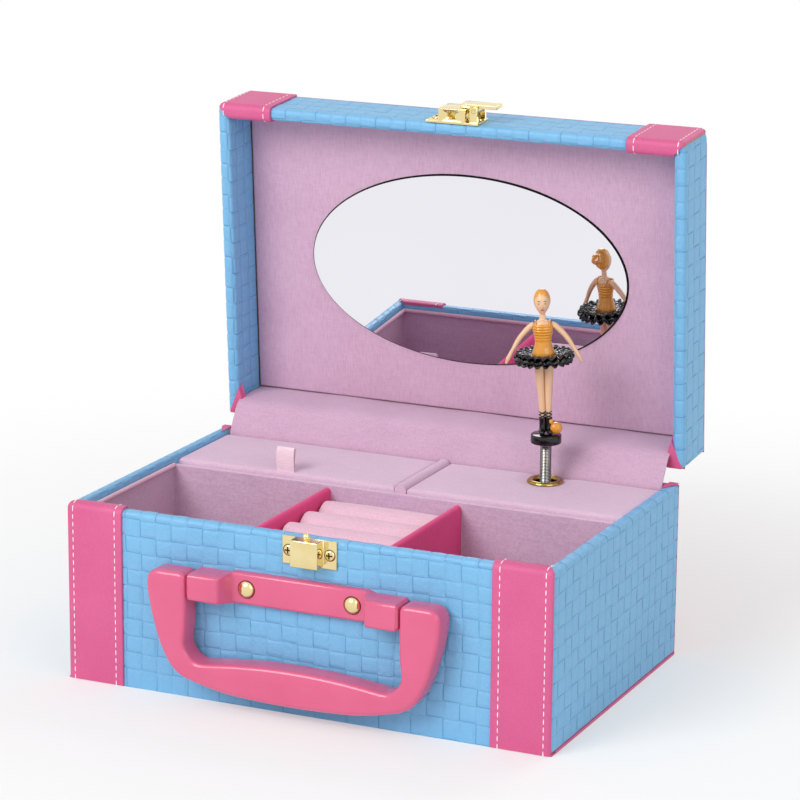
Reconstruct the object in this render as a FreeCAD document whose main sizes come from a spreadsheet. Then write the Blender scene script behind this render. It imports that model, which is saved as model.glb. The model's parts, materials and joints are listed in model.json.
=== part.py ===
import FreeCAD, Part
import Sketcher

import math
import os

# Wind-up music box: a small hinged case with a tray, a rear deck over the movement and a dancer that
# stands on a coil spring. Millimetres, +Z up, +Y to the back, origin at the middle of the base.
# The lid is modelled closed and then turned open about the soft hinge.

SIZES = {
    # case
    "case_width": 185.0,
    "case_depth": 118.4,
    "case_height": 64.5,
    "skin": 0.6,
    "board": 3.4,
    "base_thickness": 3.0,
    "rim_round": 1.7,
    "lining": 0.6,
    "strap_inner": 70.3,
    "strap_margin": 0.5,
    "strap_thickness": 0.8,
    # tray and deck
    "cross_wall_front": 10.5,
    "cross_wall": 4.0,
    "deck_drop": 2.0,
    "deck_thickness": 3.0,
    "deck_gap": 0.3,
    "deck_rear_gap": 1.6,
    "cleat_width": 3.0,
    "cleat_height": 5.0,
    "bay_divider_left": 0.2,
    "bay_divider": 4.4,
    "divider": 3.0,
    "divider_left": -24.5,
    "divider_right": 27.0,
    "divider_drop": 1.5,
    "roll_radius": 7.3,
    "roll_gap": 0.4,
    "roll_drop": 4.1,
    "roll_seat": 0.2,
    "roll_count": 4,
    "lining_drop": 0.2,
    "ribbon_width": 7.0,
    "ribbon_thickness": 0.6,
    "ribbon_height": 9.0,
    "ribbon_along": 0.5,
    "ribbon_inset": 1.0,
    "eyelet_flange": 6.7,
    "eyelet_bore": 4.2,
    "eyelet_wall": 0.5,
    "eyelet_height": 1.4,
    # latch
    "latch_offset": 2.8,
    "latch_width": 20.6,
    "latch_plate": 0.8,
    "latch_tall": 10.0,
    "latch_drop": 0.2,
    "block_width": 10.4,
    "block_tall": 9.4,
    "block_depth": 4.6,
    "stud_radius": 0.8,
    "ball_radius": 1.25,
    "stud_rise": 1.3,
    "catch_bore": 1.6,
    "catch_bore_depth": 4.5,
    "lever_lap": 3.0,
    "lever_reach": 6.0,
    "lever_thickness": 1.4,
    "lever_tall": 5.6,
    "lever_raise": 0.8,
    "lever_gap": 0.25,
    "lever_offset": 2.6,
    "lever_knuckle": 1.5,
    "lever_set": 0.9,
    "lever_pin": 0.7,
    "lever_lug": 1.0,
    "latch_screw_head": 1.9,
    "latch_screw_shank": 0.9,
    "latch_screw_spacing": 15.6,
    "screw_head_height": 0.7,
    # handle
    "bracket_half": 40.0,
    "bracket_height": 11.4,
    "bracket_plate": 3.0,
    "lug_length": 13.0,
    "pivot_drop": 20.9,
    "pivot_offset": 5.4,
    "knuckle_radius": 4.8,
    "handle_gap": 0.5,
    "handle_half": 56.0,
    "handle_waist": 51.0,
    "handle_foot": 41.0,
    "handle_bottom": 5.5,
    "handle_corner": 9.5,
    "handle_waist_height": 22.0,
    "grip_height": 13.5,
    "arm_inner": 42.6,
    "pin_radius": 2.2,
    "pin_length": 7.0,
    "pin_play": 0.08,
    "rivet_offset": 20.1,
    "rivet_head": 3.0,
    "rivet_rise": 1.7,
    "rivet_shank": 1.2,
    # lid
    "lid_open_angle": 86.35,
    "hinge_back": 4.2,
    "hinge_rise": 2.1,
    "lid_gap": 1.9,
    "lid_overhang": 2.0,
    "lid_height": 22.1,
    "lid_top": 2.4,
    "liner_thickness": 1.6,
    "liner_gap": 0.3,
    "mirror_half_width": 63.8,
    "mirror_half_height": 36.2,
    "mirror_offset": 1.0,
    "mirror_rise": 59.2,
    "mirror_thickness": 1.4,
    "hinge_inset": 8.0,
    "hinge_sheet": 0.7,
    "hinge_slack": 0.9,
    "lining_tail": 3.0,
    "band_tail": 12.0,
    "band_grip": 8.0,
    "band_start": 3.8,
    # movement
    "spindle_shift": 1.05,
    "spindle_y": 46.6,
    "arbor_height": 21.2,
    "module": 0.6,
    "barrel_teeth": 44,
    "pinion_teeth": 18,
    "wheel_teeth": 32,
    "small_teeth": 12,
    "mesh_play": 0.06,
    "tooth_play": 0.14,
    "arbor_radius": 1.0,
    "winding_radius": 2.0,
    "bearing_play": 0.05,
    "bed_thickness": 3.0,
    "plate": 1.5,
    "front_plate_y": 16.0,
    "rear_plate_y": 52.8,
    "plate_top": 42.0,
    "bed_left_reach": 34.5,
    "bed_right_reach": 32.5,
    "train_gap": 0.8,
    "train_face": 1.1,
    "barrel_length": 15.0,
    "barrel_wall": 0.8,
    "barrel_clear": 0.4,
    "mainspring_strip": 0.35,
    "mainspring_turns": 5.0,
    "drum_radius": 6.2,
    "drum_length": 16.0,
    "drum_pin": 0.3,
    "drum_pin_rise": 0.7,
    "comb_teeth": 18,
    "comb_slot": 0.25,
    "comb_tooth": 9.5,
    "comb_length": 17.5,
    "comb_thickness": 0.9,
    "comb_rise": 5.0,
    "comb_reach": 5.1,
    "governor_angle": 20.0,
    "fan_radius": 6.0,
    "fan_length": 8.0,
    "fan_blade": 0.5,
    "governor_radius": 0.8,
    "pedestal_margin": 0.9,
    "bed_margin": 0.4,
    "comb_screw_inset": 4.0,
    "pedestal_hole": 6.0,
    "crown_radius": 4.5,
    "crown_pins": 12,
    "crown_fins": 8,
    "crown_pin": 0.4,
    "crown_depth": 1.1,
    "crown_face": 2.0,
    "crown_plate": 1.2,
    "crown_hub": 1.8,
    "crown_fin": 0.6,
    "crown_gap": 0.4,
    "spindle_radius": 1.2,
    "bridge_height": 40.0,
    "bridge_plate": 2.0,
    "bridge_half": 6.0,
    "bridge_reach": 4.0,
    "bridge_leg": 8.0,
    "collar_radius": 2.4,
    "collar_height": 1.5,
    "machine_screw_head": 2.4,
    "machine_screw_shank": 1.2,
    "machine_screw_rise": 1.4,
    # key
    "escutcheon": 7.0,
    "escutcheon_thickness": 1.0,
    "key_gap": 2.0,
    "key_boss": 4.2,
    "key_length": 15.0,
    "key_wing": 11.0,
    "key_wing_thickness": 2.2,
    # dancer
    "spring_radius": 2.15,
    "spring_bore": 1.35,
    "spring_rise": 14.8,
    "spring_overlap": 4.0,
    "stand_radius": 5.6,
    "stand_height": 3.4,
    "stand_pin": 5.0,
    "leg_radius": 1.5,
    "boot_height": 6.0,
    "boot_radius": 2.1,
    "leg_spread": 1.7,
    "leg_height": 26.3,
    "tutu_rise": 3.6,
    "tutu_radius": 10.8,
    "tutu_bore": 3.3,
    "waist_rise": 32.9,
    "shoulder_rise": 41.1,
    "waist_radius": 3.0,
    "shoulder_radius": 4.2,
    "neck_radius": 1.3,
    "head_rise": 48.1,
    "head_radius": 4.1,
    "bun_radius": 2.3,
    "hand_reach": 13.8,
    "facing_angle": 22.0,
    "hand_rise": 28.3,
    "arm_radius": 1.25,
}

doc = FreeCAD.newDocument("music_box")
sheet = doc.addObject("Spreadsheet::Sheet", "dims")


class Size:
    """A length that knows its value and the sheet expression that gives it."""

    def __init__(self, text, value):
        self.text = text
        self.value = value

    @staticmethod
    def of(thing):
        if isinstance(thing, Size):
            return thing
        return Size(repr(float(thing)), float(thing))

    def joined(self, other, sign, value):
        return Size("(" + self.text + " " + sign + " " + Size.of(other).text + ")", value)

    def __add__(self, other):
        return self.joined(other, "+", self.value + Size.of(other).value)

    def __sub__(self, other):
        return self.joined(other, "-", self.value - Size.of(other).value)

    def __mul__(self, other):
        return self.joined(other, "*", self.value * Size.of(other).value)

    def __truediv__(self, other):
        return self.joined(other, "/", self.value / Size.of(other).value)

    def __neg__(self):
        return Size("(0 - " + self.text + ")", -self.value)

    def __radd__(self, other):
        return Size.of(other) + self

    def __rsub__(self, other):
        return Size.of(other) - self

    def __rmul__(self, other):
        return Size.of(other) * self

    def __float__(self):
        return self.value

    def cos(self):
        return Size("cos(" + self.text + ")", math.cos(math.radians(self.value)))

    def sin(self):
        return Size("sin(" + self.text + ")", math.sin(math.radians(self.value)))


class Sizes:
    """The driving dimensions, one sheet row each, read as attributes."""

    def __init__(self, table):
        for row, (name, number) in enumerate(table.items(), start=1):
            sheet.set("A%d" % row, name)
            sheet.set("B%d" % row, str(number))
            sheet.setAlias("B%d" % row, name)
            setattr(self, name, Size("dims." + name, float(number)))


d = Sizes(SIZES)
doc.recompute()
finished = {}
AXES = {"X": FreeCAD.Vector(1, 0, 0), "Y": FreeCAD.Vector(0, 1, 0), "Z": FreeCAD.Vector(0, 0, 1)}
UPRIGHT = {
    "X": FreeCAD.Rotation(AXES["Y"], 90),
    "Y": FreeCAD.Rotation(AXES["X"], -90),
    "Z": FreeCAD.Rotation(),
}


class Frame:
    """Places pieces: fixed as given, or turned about the lid hinge."""

    def __init__(self, turn=None, hinge_y=None, hinge_z=None):
        self.turn = turn
        self.hinge_y = hinge_y
        self.hinge_z = hinge_z

    def rotation(self):
        if self.turn is None:
            return FreeCAD.Rotation()
        return FreeCAD.Rotation(AXES["X"], -float(self.turn))

    def moved(self, x, y, z):
        if self.turn is None:
            return x, y, z
        along = y - self.hinge_y
        up = z - self.hinge_z
        turned_y = self.hinge_y + along * self.turn.cos() + up * self.turn.sin()
        turned_z = self.hinge_z - along * self.turn.sin() + up * self.turn.cos()
        return x, turned_y, turned_z

    def put(self, item, x, y, z, own=None):
        base = [Size.of(part) for part in self.moved(x, y, z)]
        turn = self.rotation() if own is None else self.rotation().multiply(own)
        item.Placement = FreeCAD.Placement(FreeCAD.Vector(*map(float, base)), turn)
        for name, part in zip("xyz", base):
            item.setExpression("Placement.Base." + name, part.text)


case_back = d.case_depth / 2
case_front = -case_back
case_side = d.case_width / 2
hinge_y = case_back + d.hinge_back
hinge_z = d.case_height + d.hinge_rise
FIXED = Frame()
LID = Frame(d.lid_open_angle, hinge_y, hinge_z)


def bind(item, name, size):
    item.setExpression(name, Size.of(size).text)


def box(x, y, z, frame=FIXED, label="block"):
    """A block between the low and high value on each axis."""
    item = doc.addObject("Part::Box", label)
    for name, (low, high) in zip(("Length", "Width", "Height"), (x, y, z)):
        bind(item, name, Size.of(high) - low)
    frame.put(item, Size.of(x[0]), Size.of(y[0]), Size.of(z[0]))
    return item


def rod(axis, at, span, radius, frame=FIXED, label="rod"):
    """A cylinder along an axis; at gives the two other coordinates in X, Y, Z order."""
    item = doc.addObject("Part::Cylinder", label)
    bind(item, "Radius", radius)
    bind(item, "Height", Size.of(span[1]) - span[0])
    place = list(at)
    place.insert("XYZ".index(axis), span[0])
    frame.put(item, *[Size.of(part) for part in place], own=UPRIGHT[axis])
    return item


def cone(at, span, low_radius, high_radius, label="cone"):
    item = doc.addObject("Part::Cone", label)
    bind(item, "Radius1", low_radius)
    bind(item, "Radius2", high_radius)
    bind(item, "Height", Size.of(span[1]) - span[0])
    FIXED.put(item, Size.of(at[0]), Size.of(at[1]), Size.of(span[0]))
    return item


def ball(at, radius, label="ball"):
    item = doc.addObject("Part::Sphere", label)
    bind(item, "Radius", radius)
    FIXED.put(item, *[Size.of(part) for part in at])
    return item


def fuse(*items, label="joined"):
    item = doc.addObject("Part::MultiFuse", label)
    item.Shapes = list(items)
    item.Refine = True
    return item


def group(*items, label="set"):
    """Separate solids that share one node."""
    item = doc.addObject("Part::Compound", label)
    item.Links = list(items)
    return item


def cut(base, *tools, label="cut"):
    item = doc.addObject("Part::Cut", label)
    item.Base = base
    item.Tool = tools[0] if len(tools) == 1 else group(*tools)
    item.Refine = True
    return item


def rounded(base, radius, chosen, label="rounded"):
    """Rounds the edges of a piece that the chosen test picks."""
    doc.recompute()
    item = doc.addObject("Part::Fillet", label)
    item.Base = base
    picks = [n for n, edge in enumerate(base.Shape.Edges, start=1) if chosen(edge)]
    item.Edges = [(n, float(radius), float(radius)) for n in picks]
    return item


def origin_plane(body, role):
    return [item for item in body.Origin.OriginFeatures if item.Role == role][0]


def outline(body, role, points, label):
    """A closed sketch of straight lines whose corners are bound to the sheet."""
    sketch = body.newObject("Sketcher::SketchObject", label)
    sketch.AttachmentSupport = [(origin_plane(body, role), "")]
    sketch.MapMode = "FlatFace"
    corners = [FreeCAD.Vector(float(a), float(b), 0) for a, b in points]
    count = len(corners)
    for n in range(count):
        sketch.addGeometry(Part.LineSegment(corners[n], corners[(n + 1) % count]))
    for n in range(count):
        sketch.addConstraint(Sketcher.Constraint("Coincident", n, 2, (n + 1) % count, 1))
    for n, pair in enumerate(points):
        for kind, size in zip(("DistanceX", "DistanceY"), pair):
            rule = Sketcher.Constraint(kind, -1, 1, n, 1, float(size))
            index = sketch.addConstraint(rule)
            sketch.setExpression("Constraints[%d]" % index, Size.of(size).text)
    return sketch


def padded(label, role, points, length, place, backwards=False, frame=FIXED):
    """A body padded from a straight-line outline on one of its own origin planes."""
    body = doc.addObject("PartDesign::Body", label)
    pad = body.newObject("PartDesign::Pad", label + "_pad")
    sketch = outline(body, role, points, label + "_sketch")
    pad.Profile = sketch
    bind(pad, "Length", length)
    pad.Reversed = backwards
    body.Tip = pad
    frame.put(body, *[Size.of(part) for part in place])
    return body


def turned(label, points, place, axis="Z"):
    """A body of revolution from a radius and height outline."""
    body = doc.addObject("PartDesign::Body", label)
    sketch = outline(body, "XZ_Plane", points, label + "_sketch")
    spin = body.newObject("PartDesign::Revolution", label + "_turn")
    spin.Profile = sketch
    spin.ReferenceAxis = (sketch, ["V_Axis"])
    spin.Angle = 360
    body.Tip = spin
    FIXED.put(body, *[Size.of(part) for part in place], own=UPRIGHT[axis])
    return body


def scripted(shape, label="shape"):
    item = doc.addObject("Part::Feature", label)
    item.Shape = shape
    return item


def node(name, item):
    item.Label = name
    finished[name] = item
    return item


def along(edge, axis):
    """True for a straight edge along the named axis."""
    if not isinstance(edge.Curve, Part.Line):
        return False
    return abs(abs(edge.Curve.Direction.dot(AXES[axis])) - 1) < 1e-6


# Case boards and their coverings

base_low = d.skin
floor = d.skin + d.base_thickness
board_out = case_side - d.skin
board_in = board_out - d.board
front_out = case_front + d.skin
front_in = front_out + d.board
back_out = case_back - d.skin
back_in = back_out - d.board
board_top = d.case_height - d.skin
far = d.case_height + 2 * d.lid_height
deck_top = d.case_height - d.deck_drop
pivot_height = d.case_height - d.pivot_drop
divider_right_side = d.bay_divider_left + d.bay_divider
spindle_x = (divider_right_side + board_in) / 2 - d.spindle_shift
plate_left = spindle_x - d.bed_left_reach
plate_right = spindle_x + d.bed_right_reach

key_x = spindle_x - d.module * (d.barrel_teeth + d.pinion_teeth) / 2 - d.mesh_play
key_hole = d.escutcheon / 2
rivet_x = [-d.rivet_offset, d.rivet_offset]
latch_x = [d.latch_offset - d.latch_screw_spacing / 2, d.latch_offset + d.latch_screw_spacing / 2]
keeper_top = d.case_height - d.latch_drop
keeper_mid = keeper_top - d.latch_tall / 2
screw_hole = d.latch_screw_shank + d.bearing_play
rivet_hole = d.rivet_shank + d.bearing_play
bolt_hole = d.machine_screw_shank + d.bearing_play


def bed_screws():
    """Where the two screws hold the bed plate down."""
    edge = d.machine_screw_head + d.bed_margin
    row = d.rear_plate_y - edge
    return [(plate_left + edge, row), (plate_right - edge, row)]


node("base_board", cut(
    box((-board_out, board_out), (front_out, back_out), (base_low, floor)),
    *[rod("Z", at, (base_low, floor), bolt_hole) for at in bed_screws()],
))
node("front_board", cut(
    box((-board_out, board_out), (front_out, front_in), (floor, board_top)),
    *[rod("Y", (x, pivot_height), (front_out, front_in), rivet_hole) for x in rivet_x],
    *[rod("Y", (x, keeper_mid), (front_out, front_in), screw_hole) for x in latch_x],
))
node("back_board", cut(
    box((-board_out, board_out), (back_in, back_out), (floor, board_top)),
    rod("Y", (key_x, d.arbor_height), (back_in, back_out), key_hole),
))
node("side_boards", group(
    box((-board_out, -board_in), (front_in, back_in), (floor, board_top)),
    box((board_in, board_out), (front_in, back_in), (floor, board_top)),
))


def rim_edges(top, front):
    """Picks the long edges at the top of the outer walls."""
    def chosen(edge):
        middle = edge.BoundBox.Center
        if abs(middle.z - float(top)) > 1e-6:
            return False
        return along(edge, "Y") or (along(edge, "X") and abs(middle.y - float(front)) < 1e-6)
    return chosen


wrap_block = rounded(
    box((-case_side, case_side), (case_front, back_out), (base_low, d.case_height)),
    d.rim_round, rim_edges(d.case_height, case_front),
)
node("case_wrap", cut(
    wrap_block,
    box((-board_out, board_out), (front_out, case_back), (base_low, board_top)),
    box((-board_in, board_in), (front_in, case_back), (base_low, far)),
    box((-board_out, board_out), (back_in, case_back), (base_low, far)),
    *[rod("Y", (x, pivot_height), (case_front, front_out), rivet_hole) for x in rivet_x],
    *[rod("Y", (x, keeper_mid), (case_front, front_out), screw_hole) for x in latch_x],
))
node("base_wrap", box((-case_side, case_side), (case_front, case_back), (0, base_low)))
back_block = rounded(
    box((-case_side, case_side), (back_in, case_back), (base_low, d.case_height)),
    d.rim_round, rim_edges(d.case_height, case_back),
)
node("back_wrap", cut(
    back_block,
    box((-case_side, case_side), (back_in, back_out), (base_low, board_top)),
    box((-case_side, -board_out), (back_in, back_out), (base_low, far)),
    box((board_out, case_side), (back_in, back_out), (base_low, far)),
    rod("Y", (key_x, d.arbor_height), (back_out, case_back), key_hole),
))


def strap(low_x, high_x, low_z, high_z, over, name, frame=FIXED):
    """A leatherette strap down the front that folds over the rim at height over."""
    front = case_front - d.strap_thickness
    rim = over + d.strap_thickness if float(over) > float(low_z) else over - d.strap_thickness
    plate = box((low_x, high_x), (front, case_front), (low_z, high_z), frame)
    fold_low, fold_high = (over, rim) if float(rim) > float(over) else (rim, over)
    fold = box((low_x, high_x), (front, front_in), (fold_low, fold_high), frame)
    return node(name, fuse(plate, fold))


strap_out = case_side - d.strap_margin
for side, low_x, high_x in (("left", -strap_out, -d.strap_inner), ("right", d.strap_inner, strap_out)):
    strap(low_x, high_x, base_low, d.case_height, d.case_height, "corner_strap_" + side)

# Tray and rear deck

wall_back = d.cross_wall_front + d.cross_wall
deck_low = deck_top - d.deck_thickness
deck_front = wall_back + d.deck_gap
deck_rear = back_in - d.deck_rear_gap
divider_top = deck_top - d.divider_drop
tray_front = front_in + d.lining
tray_back = d.cross_wall_front - d.lining
tray_floor = floor + d.lining
lining_top = deck_top - d.lining_drop

node("tray_lining", cut(
    box((-board_in, board_in), (front_in, d.cross_wall_front), (floor, lining_top)),
    box((-board_in + d.lining, board_in - d.lining), (tray_front, tray_back), (tray_floor, far)),
))
node("cross_wall", box((-board_in, board_in), (d.cross_wall_front, wall_back), (floor, deck_top)))
node("bay_divider", box(
    (d.bay_divider_left, divider_right_side), (wall_back, deck_rear), (floor, deck_top)))
bays = ((-board_in, d.bay_divider_left), (divider_right_side, board_in))
node("deck_cleats", group(*[
    box(bay, span, (deck_low - d.cleat_height, deck_low))
    for bay in bays
    for span in ((wall_back, wall_back + d.cleat_width), (back_in - d.cleat_width, back_in))
]))

for side, middle in (("left", d.divider_left), ("right", d.divider_right)):
    divider_x = (middle - d.divider / 2, middle + d.divider / 2)
    node("tray_divider_" + side, box(divider_x, (tray_front, tray_back), (tray_floor, divider_top)))

bed_left = d.divider_left + d.divider / 2
bed_right = d.divider_right - d.divider / 2
roll_middle = deck_top - d.roll_drop - d.roll_radius
roll_floor = roll_middle - d.roll_radius - d.roll_seat
node("ring_bed", box((bed_left, bed_right), (tray_front, tray_back), (tray_floor, roll_floor)))
roll_pitch = 2 * d.roll_radius + d.roll_gap
node("ring_rolls", group(*[
    rod("X", (tray_back - d.roll_gap - d.roll_radius - n * roll_pitch, roll_middle),
        (bed_left + d.roll_gap, bed_right - d.roll_gap), d.roll_radius)
    for n in range(SIZES["roll_count"])
]))

eyelet_out = d.eyelet_bore + d.eyelet_wall
node("movement_panel", cut(
    box((divider_right_side + d.deck_gap, board_in - d.deck_gap), (deck_front, deck_rear),
        (deck_low, deck_top)),
    rod("Z", (spindle_x, d.spindle_y), (deck_low, deck_top), eyelet_out + d.bearing_play),
))
node("eyelet", turned("eyelet_body", [
    (d.eyelet_bore, -d.deck_thickness),
    (eyelet_out, -d.deck_thickness),
    (eyelet_out, 0),
    (d.eyelet_flange, 0),
    (d.eyelet_flange - d.eyelet_wall, d.eyelet_height / 2),
    ((d.eyelet_flange + d.eyelet_bore) / 2, d.eyelet_height),
    (d.eyelet_bore + d.eyelet_wall / 2, d.eyelet_height / 2),
    (d.eyelet_bore, 0),
], (spindle_x, d.spindle_y, deck_top)))

flap_left = -board_in + d.deck_gap
flap_right = d.bay_divider_left - d.deck_gap
node("compartment_lid", box((flap_left, flap_right), (deck_front, deck_rear), (deck_low, deck_top)))
ribbon_middle = (flap_left + flap_right) * d.ribbon_along
ribbon_front = deck_front + d.ribbon_inset
node("pull_ribbon", box(
    (ribbon_middle - d.ribbon_width / 2, ribbon_middle + d.ribbon_width / 2),
    (ribbon_front, ribbon_front + d.ribbon_thickness), (deck_top, deck_top + d.ribbon_height)))

# Latch: a ball stud on the case snaps into a bored block on the lid

plate_face = case_front - d.latch_plate
block_face = plate_face - d.block_depth
stud_y = plate_face - d.block_depth / 2
plate_x = (d.latch_offset - d.latch_width / 2, d.latch_offset + d.latch_width / 2)
block_x = (d.latch_offset - d.block_width / 2, d.latch_offset + d.block_width / 2)


def latch_screws(height, frame):
    """Two screws through a latch plate, its covering and its board."""
    head_face = plate_face - d.screw_head_height
    return group(*[
        fuse(rod("Y", (x, height), (head_face, plate_face), d.latch_screw_head, frame),
             rod("Y", (x, height), (plate_face, front_in), d.latch_screw_shank, frame))
        for x in latch_x
    ])


def latch_plate(low, high, block_low, block_high, frame):
    plate = cut(
        box(plate_x, (plate_face, case_front), (low, high), frame),
        *[rod("Y", (x, (low + high) / 2), (plate_face, case_front), screw_hole, frame) for x in latch_x],
    )
    return fuse(plate, box(block_x, (block_face, plate_face), (block_low, block_high), frame))


node("keeper_plate", latch_plate(
    keeper_top - d.latch_tall, keeper_top, keeper_top - d.block_tall, keeper_top, FIXED))
node("keeper_stud", fuse(
    rod("Z", (d.latch_offset, stud_y), (keeper_top, keeper_top + d.stud_rise), d.stud_radius),
    ball((d.latch_offset, stud_y, keeper_top + d.stud_rise), d.ball_radius),
))
node("keeper_screws", latch_screws(keeper_mid, FIXED))

# Handle

pivot_y = case_front - d.pivot_offset
bracket_face = case_front - d.bracket_plate
lug_inner = d.bracket_half - d.lug_length
lug_z = (pivot_height - d.knuckle_radius, pivot_height + d.knuckle_radius)
lugs = []
pin_bores = []
knuckles = []
arm_gap = d.bracket_half + d.handle_gap
for sign in (-1, 1):
    def across(low, high, sign=sign):
        return (low, high) if sign > 0 else (-high, -low)
    lugs += [
        box(across(lug_inner, d.bracket_half), (pivot_y, case_front), lug_z),
        rod("X", (pivot_y, pivot_height), across(lug_inner, d.bracket_half), d.knuckle_radius),
    ]
    bore = across(d.bracket_half - d.pin_length - d.handle_gap, d.bracket_half)
    pin_bores.append(rod("X", (pivot_y, pivot_height), bore, d.pin_radius + d.pin_play))
    knuckles += [
        rod("X", (pivot_y, pivot_height), across(arm_gap, d.handle_half), d.knuckle_radius),
        rod("X", (pivot_y, pivot_height), across(d.bracket_half - d.pin_length, arm_gap), d.pin_radius),
    ]
bracket_z = (pivot_height - d.bracket_height / 2, pivot_height + d.bracket_height / 2)
node("handle_bracket", cut(
    fuse(box((-d.bracket_half, d.bracket_half), (bracket_face, case_front), bracket_z), *lugs),
    *pin_bores,
    *[rod("Y", (x, pivot_height), (bracket_face, case_front), rivet_hole) for x in rivet_x],
))
grip_top = d.handle_bottom + d.grip_height
knee = pivot_height - d.knuckle_radius
half_loop = [
    (arm_gap, pivot_height),
    (d.handle_half, pivot_height),
    (d.handle_half, knee),
    (d.handle_waist, d.handle_waist_height),
    (d.handle_foot, d.handle_corner),
    (d.handle_foot - d.handle_bottom, d.handle_bottom),
]
inner_loop = [
    (d.handle_foot - d.handle_bottom, grip_top),
    (d.arm_inner, grip_top + d.handle_bottom),
    (d.arm_inner, knee - d.handle_bottom),
    (arm_gap, knee),
]
mirrored = [(-x, z) for x, z in reversed(half_loop)]
inner_mirrored = [(-x, z) for x, z in reversed(inner_loop)]
grip_depth = d.pivot_offset - d.handle_gap + d.knuckle_radius
grip = padded("grip", "XZ_Plane", half_loop + mirrored + inner_mirrored + inner_loop, grip_depth,
              (0, case_front - d.handle_gap, 0))
node("handle", fuse(grip, *knuckles))
rivet_length = d.bracket_plate + d.skin + d.board
DOME_ANGLES = (90, 60, 30, 0)
dome = [(d.rivet_head * Size.of(a).cos(), -d.rivet_rise * Size.of(a).sin()) for a in DOME_ANGLES]
rivets = [turned("rivet_%d" % n, dome + [
    (d.rivet_shank, 0),
    (d.rivet_shank, rivet_length),
    (0, rivet_length),
], (x, bracket_face, pivot_height), "Y") for n, x in enumerate(rivet_x)]
node("handle_rivets", group(*rivets))

# Lid, given closed and turned open by its frame

lid_rim = d.case_height + d.lid_gap
lid_high = lid_rim + d.lid_height
lid_rear = case_back + d.lid_overhang
lid_back_out = lid_rear - d.skin
lid_back_in = lid_back_out - d.board
wall_low = lid_rim + d.skin
wall_high = lid_high - d.skin - d.lid_top
liner_low = wall_high - d.liner_thickness
catch_low = lid_rim + d.latch_drop
catch_mid = catch_low + d.latch_tall / 2

node("lid_top_board", box(
    (-board_out, board_out), (front_out, lid_back_out), (wall_high, lid_high - d.skin), LID))
node("lid_walls", group(
    cut(box((-board_out, board_out), (front_out, front_in), (wall_low, wall_high), LID),
        *[rod("Y", (x, catch_mid), (front_out, front_in), screw_hole, LID) for x in latch_x]),
    box((-board_out, board_out), (lid_back_in, lid_back_out), (wall_low, wall_high), LID),
    box((-board_out, -board_in), (front_in, lid_back_in), (wall_low, wall_high), LID),
    box((board_in, board_out), (front_in, lid_back_in), (wall_low, wall_high), LID),
))
node("lid_wrap", cut(
    box((-case_side, case_side), (case_front, lid_back_out), (lid_rim, lid_high - d.skin), LID),
    box((-board_out, board_out), (front_out, front_in), (wall_low, far), LID),
    box((-board_out, -board_in), (front_out, lid_rear), (wall_low, far), LID),
    box((board_in, board_out), (front_out, lid_rear), (wall_low, far), LID),
    box((-board_in + d.skin, board_in - d.skin), (front_in + d.skin, lid_rear), (lid_rim, far), LID),
    box((-board_in, board_in), (front_in, lid_rear), (liner_low, far), LID),
    box((-board_out, board_out), (lid_back_in, lid_rear), (lid_rim, far), LID),
    *[rod("Y", (x, catch_mid), (case_front, front_out), screw_hole, LID) for x in latch_x],
))
node("lid_top_wrap", fuse(
    box((-case_side, case_side), (case_front, lid_rear), (lid_high - d.skin, lid_high), LID),
    box((-case_side, case_side), (lid_back_out, lid_rear), (lid_rim, lid_high - d.skin), LID),
    box((-board_out, board_out), (lid_back_in, lid_back_out), (lid_rim, wall_low), LID),
))
for side, low_x, high_x in (("left", -strap_out, -d.strap_inner), ("right", d.strap_inner, strap_out)):
    strap(low_x, high_x, lid_rim, lid_high, lid_rim, "lid_strap_" + side, LID)
liner_side = board_in - d.skin - d.liner_gap
node("lid_liner", box(
    (-liner_side, liner_side), (front_in + d.skin + d.liner_gap, lid_back_in - d.liner_gap),
    (liner_low, wall_high), LID))


def lid_place(shape, x, y, z):
    """A scripted shape made at the origin, placed in the lid."""
    item = scripted(shape)
    LID.put(item, Size.of(x), Size.of(y), Size.of(z))
    return item


oval = Part.Ellipse(FreeCAD.Vector(0, 0, 0), float(d.mirror_half_width), float(d.mirror_half_height))
glass = Part.Face(Part.Wire(oval.toShape())).extrude(AXES["Z"] * float(d.mirror_thickness))
mirror_low = liner_low - d.mirror_thickness
node("mirror", lid_place(glass, d.mirror_offset, case_back - d.mirror_rise, mirror_low))

# Release lever: pressed at its free end, it rocks on two trunnions between the lugs of the catch

lever_back = block_face - d.lever_gap
lever_mid = catch_mid + d.lever_raise
lever_z = (lever_mid - d.lever_tall / 2, lever_mid + d.lever_tall / 2)
lug_low = lever_z[0] - d.lever_gap - d.lever_lug
lug_high = lever_z[1] + d.lever_gap + d.lever_lug
lug_spans = [(lug_low, lug_low + d.lever_lug), (lug_high - d.lever_lug, lug_high)]
trunnion = (block_x[1] + d.lever_offset, lever_back + d.lever_set)
lug_x = (trunnion[0] - d.lever_knuckle, trunnion[0] + d.lever_knuckle)
node("catch_plate", cut(
    fuse(
        latch_plate(catch_low, catch_low + d.latch_tall, catch_low, catch_low + d.block_tall, LID),
        *[box(lug_x, (trunnion[1] - d.lever_knuckle, plate_face), span, LID) for span in lug_spans],
    ),
    rod("Z", (d.latch_offset, stud_y), (catch_low, catch_low + d.catch_bore_depth), d.catch_bore, LID),
    *[rod("Z", trunnion, span, d.lever_pin + d.pin_play, LID) for span in lug_spans],
))
node("catch_lever", fuse(
    box((block_x[1] - d.lever_lap, plate_x[1] + d.lever_reach), (lever_back - d.lever_thickness, lever_back),
        lever_z, LID),
    rod("Z", trunnion, lever_z, d.lever_knuckle, LID),
    rod("Z", trunnion, (lug_low, lug_high), d.lever_pin, LID),
))
node("catch_screws", latch_screws(catch_mid, LID))

# Soft hinge: a lining strip inside and a leatherette band outside


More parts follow.
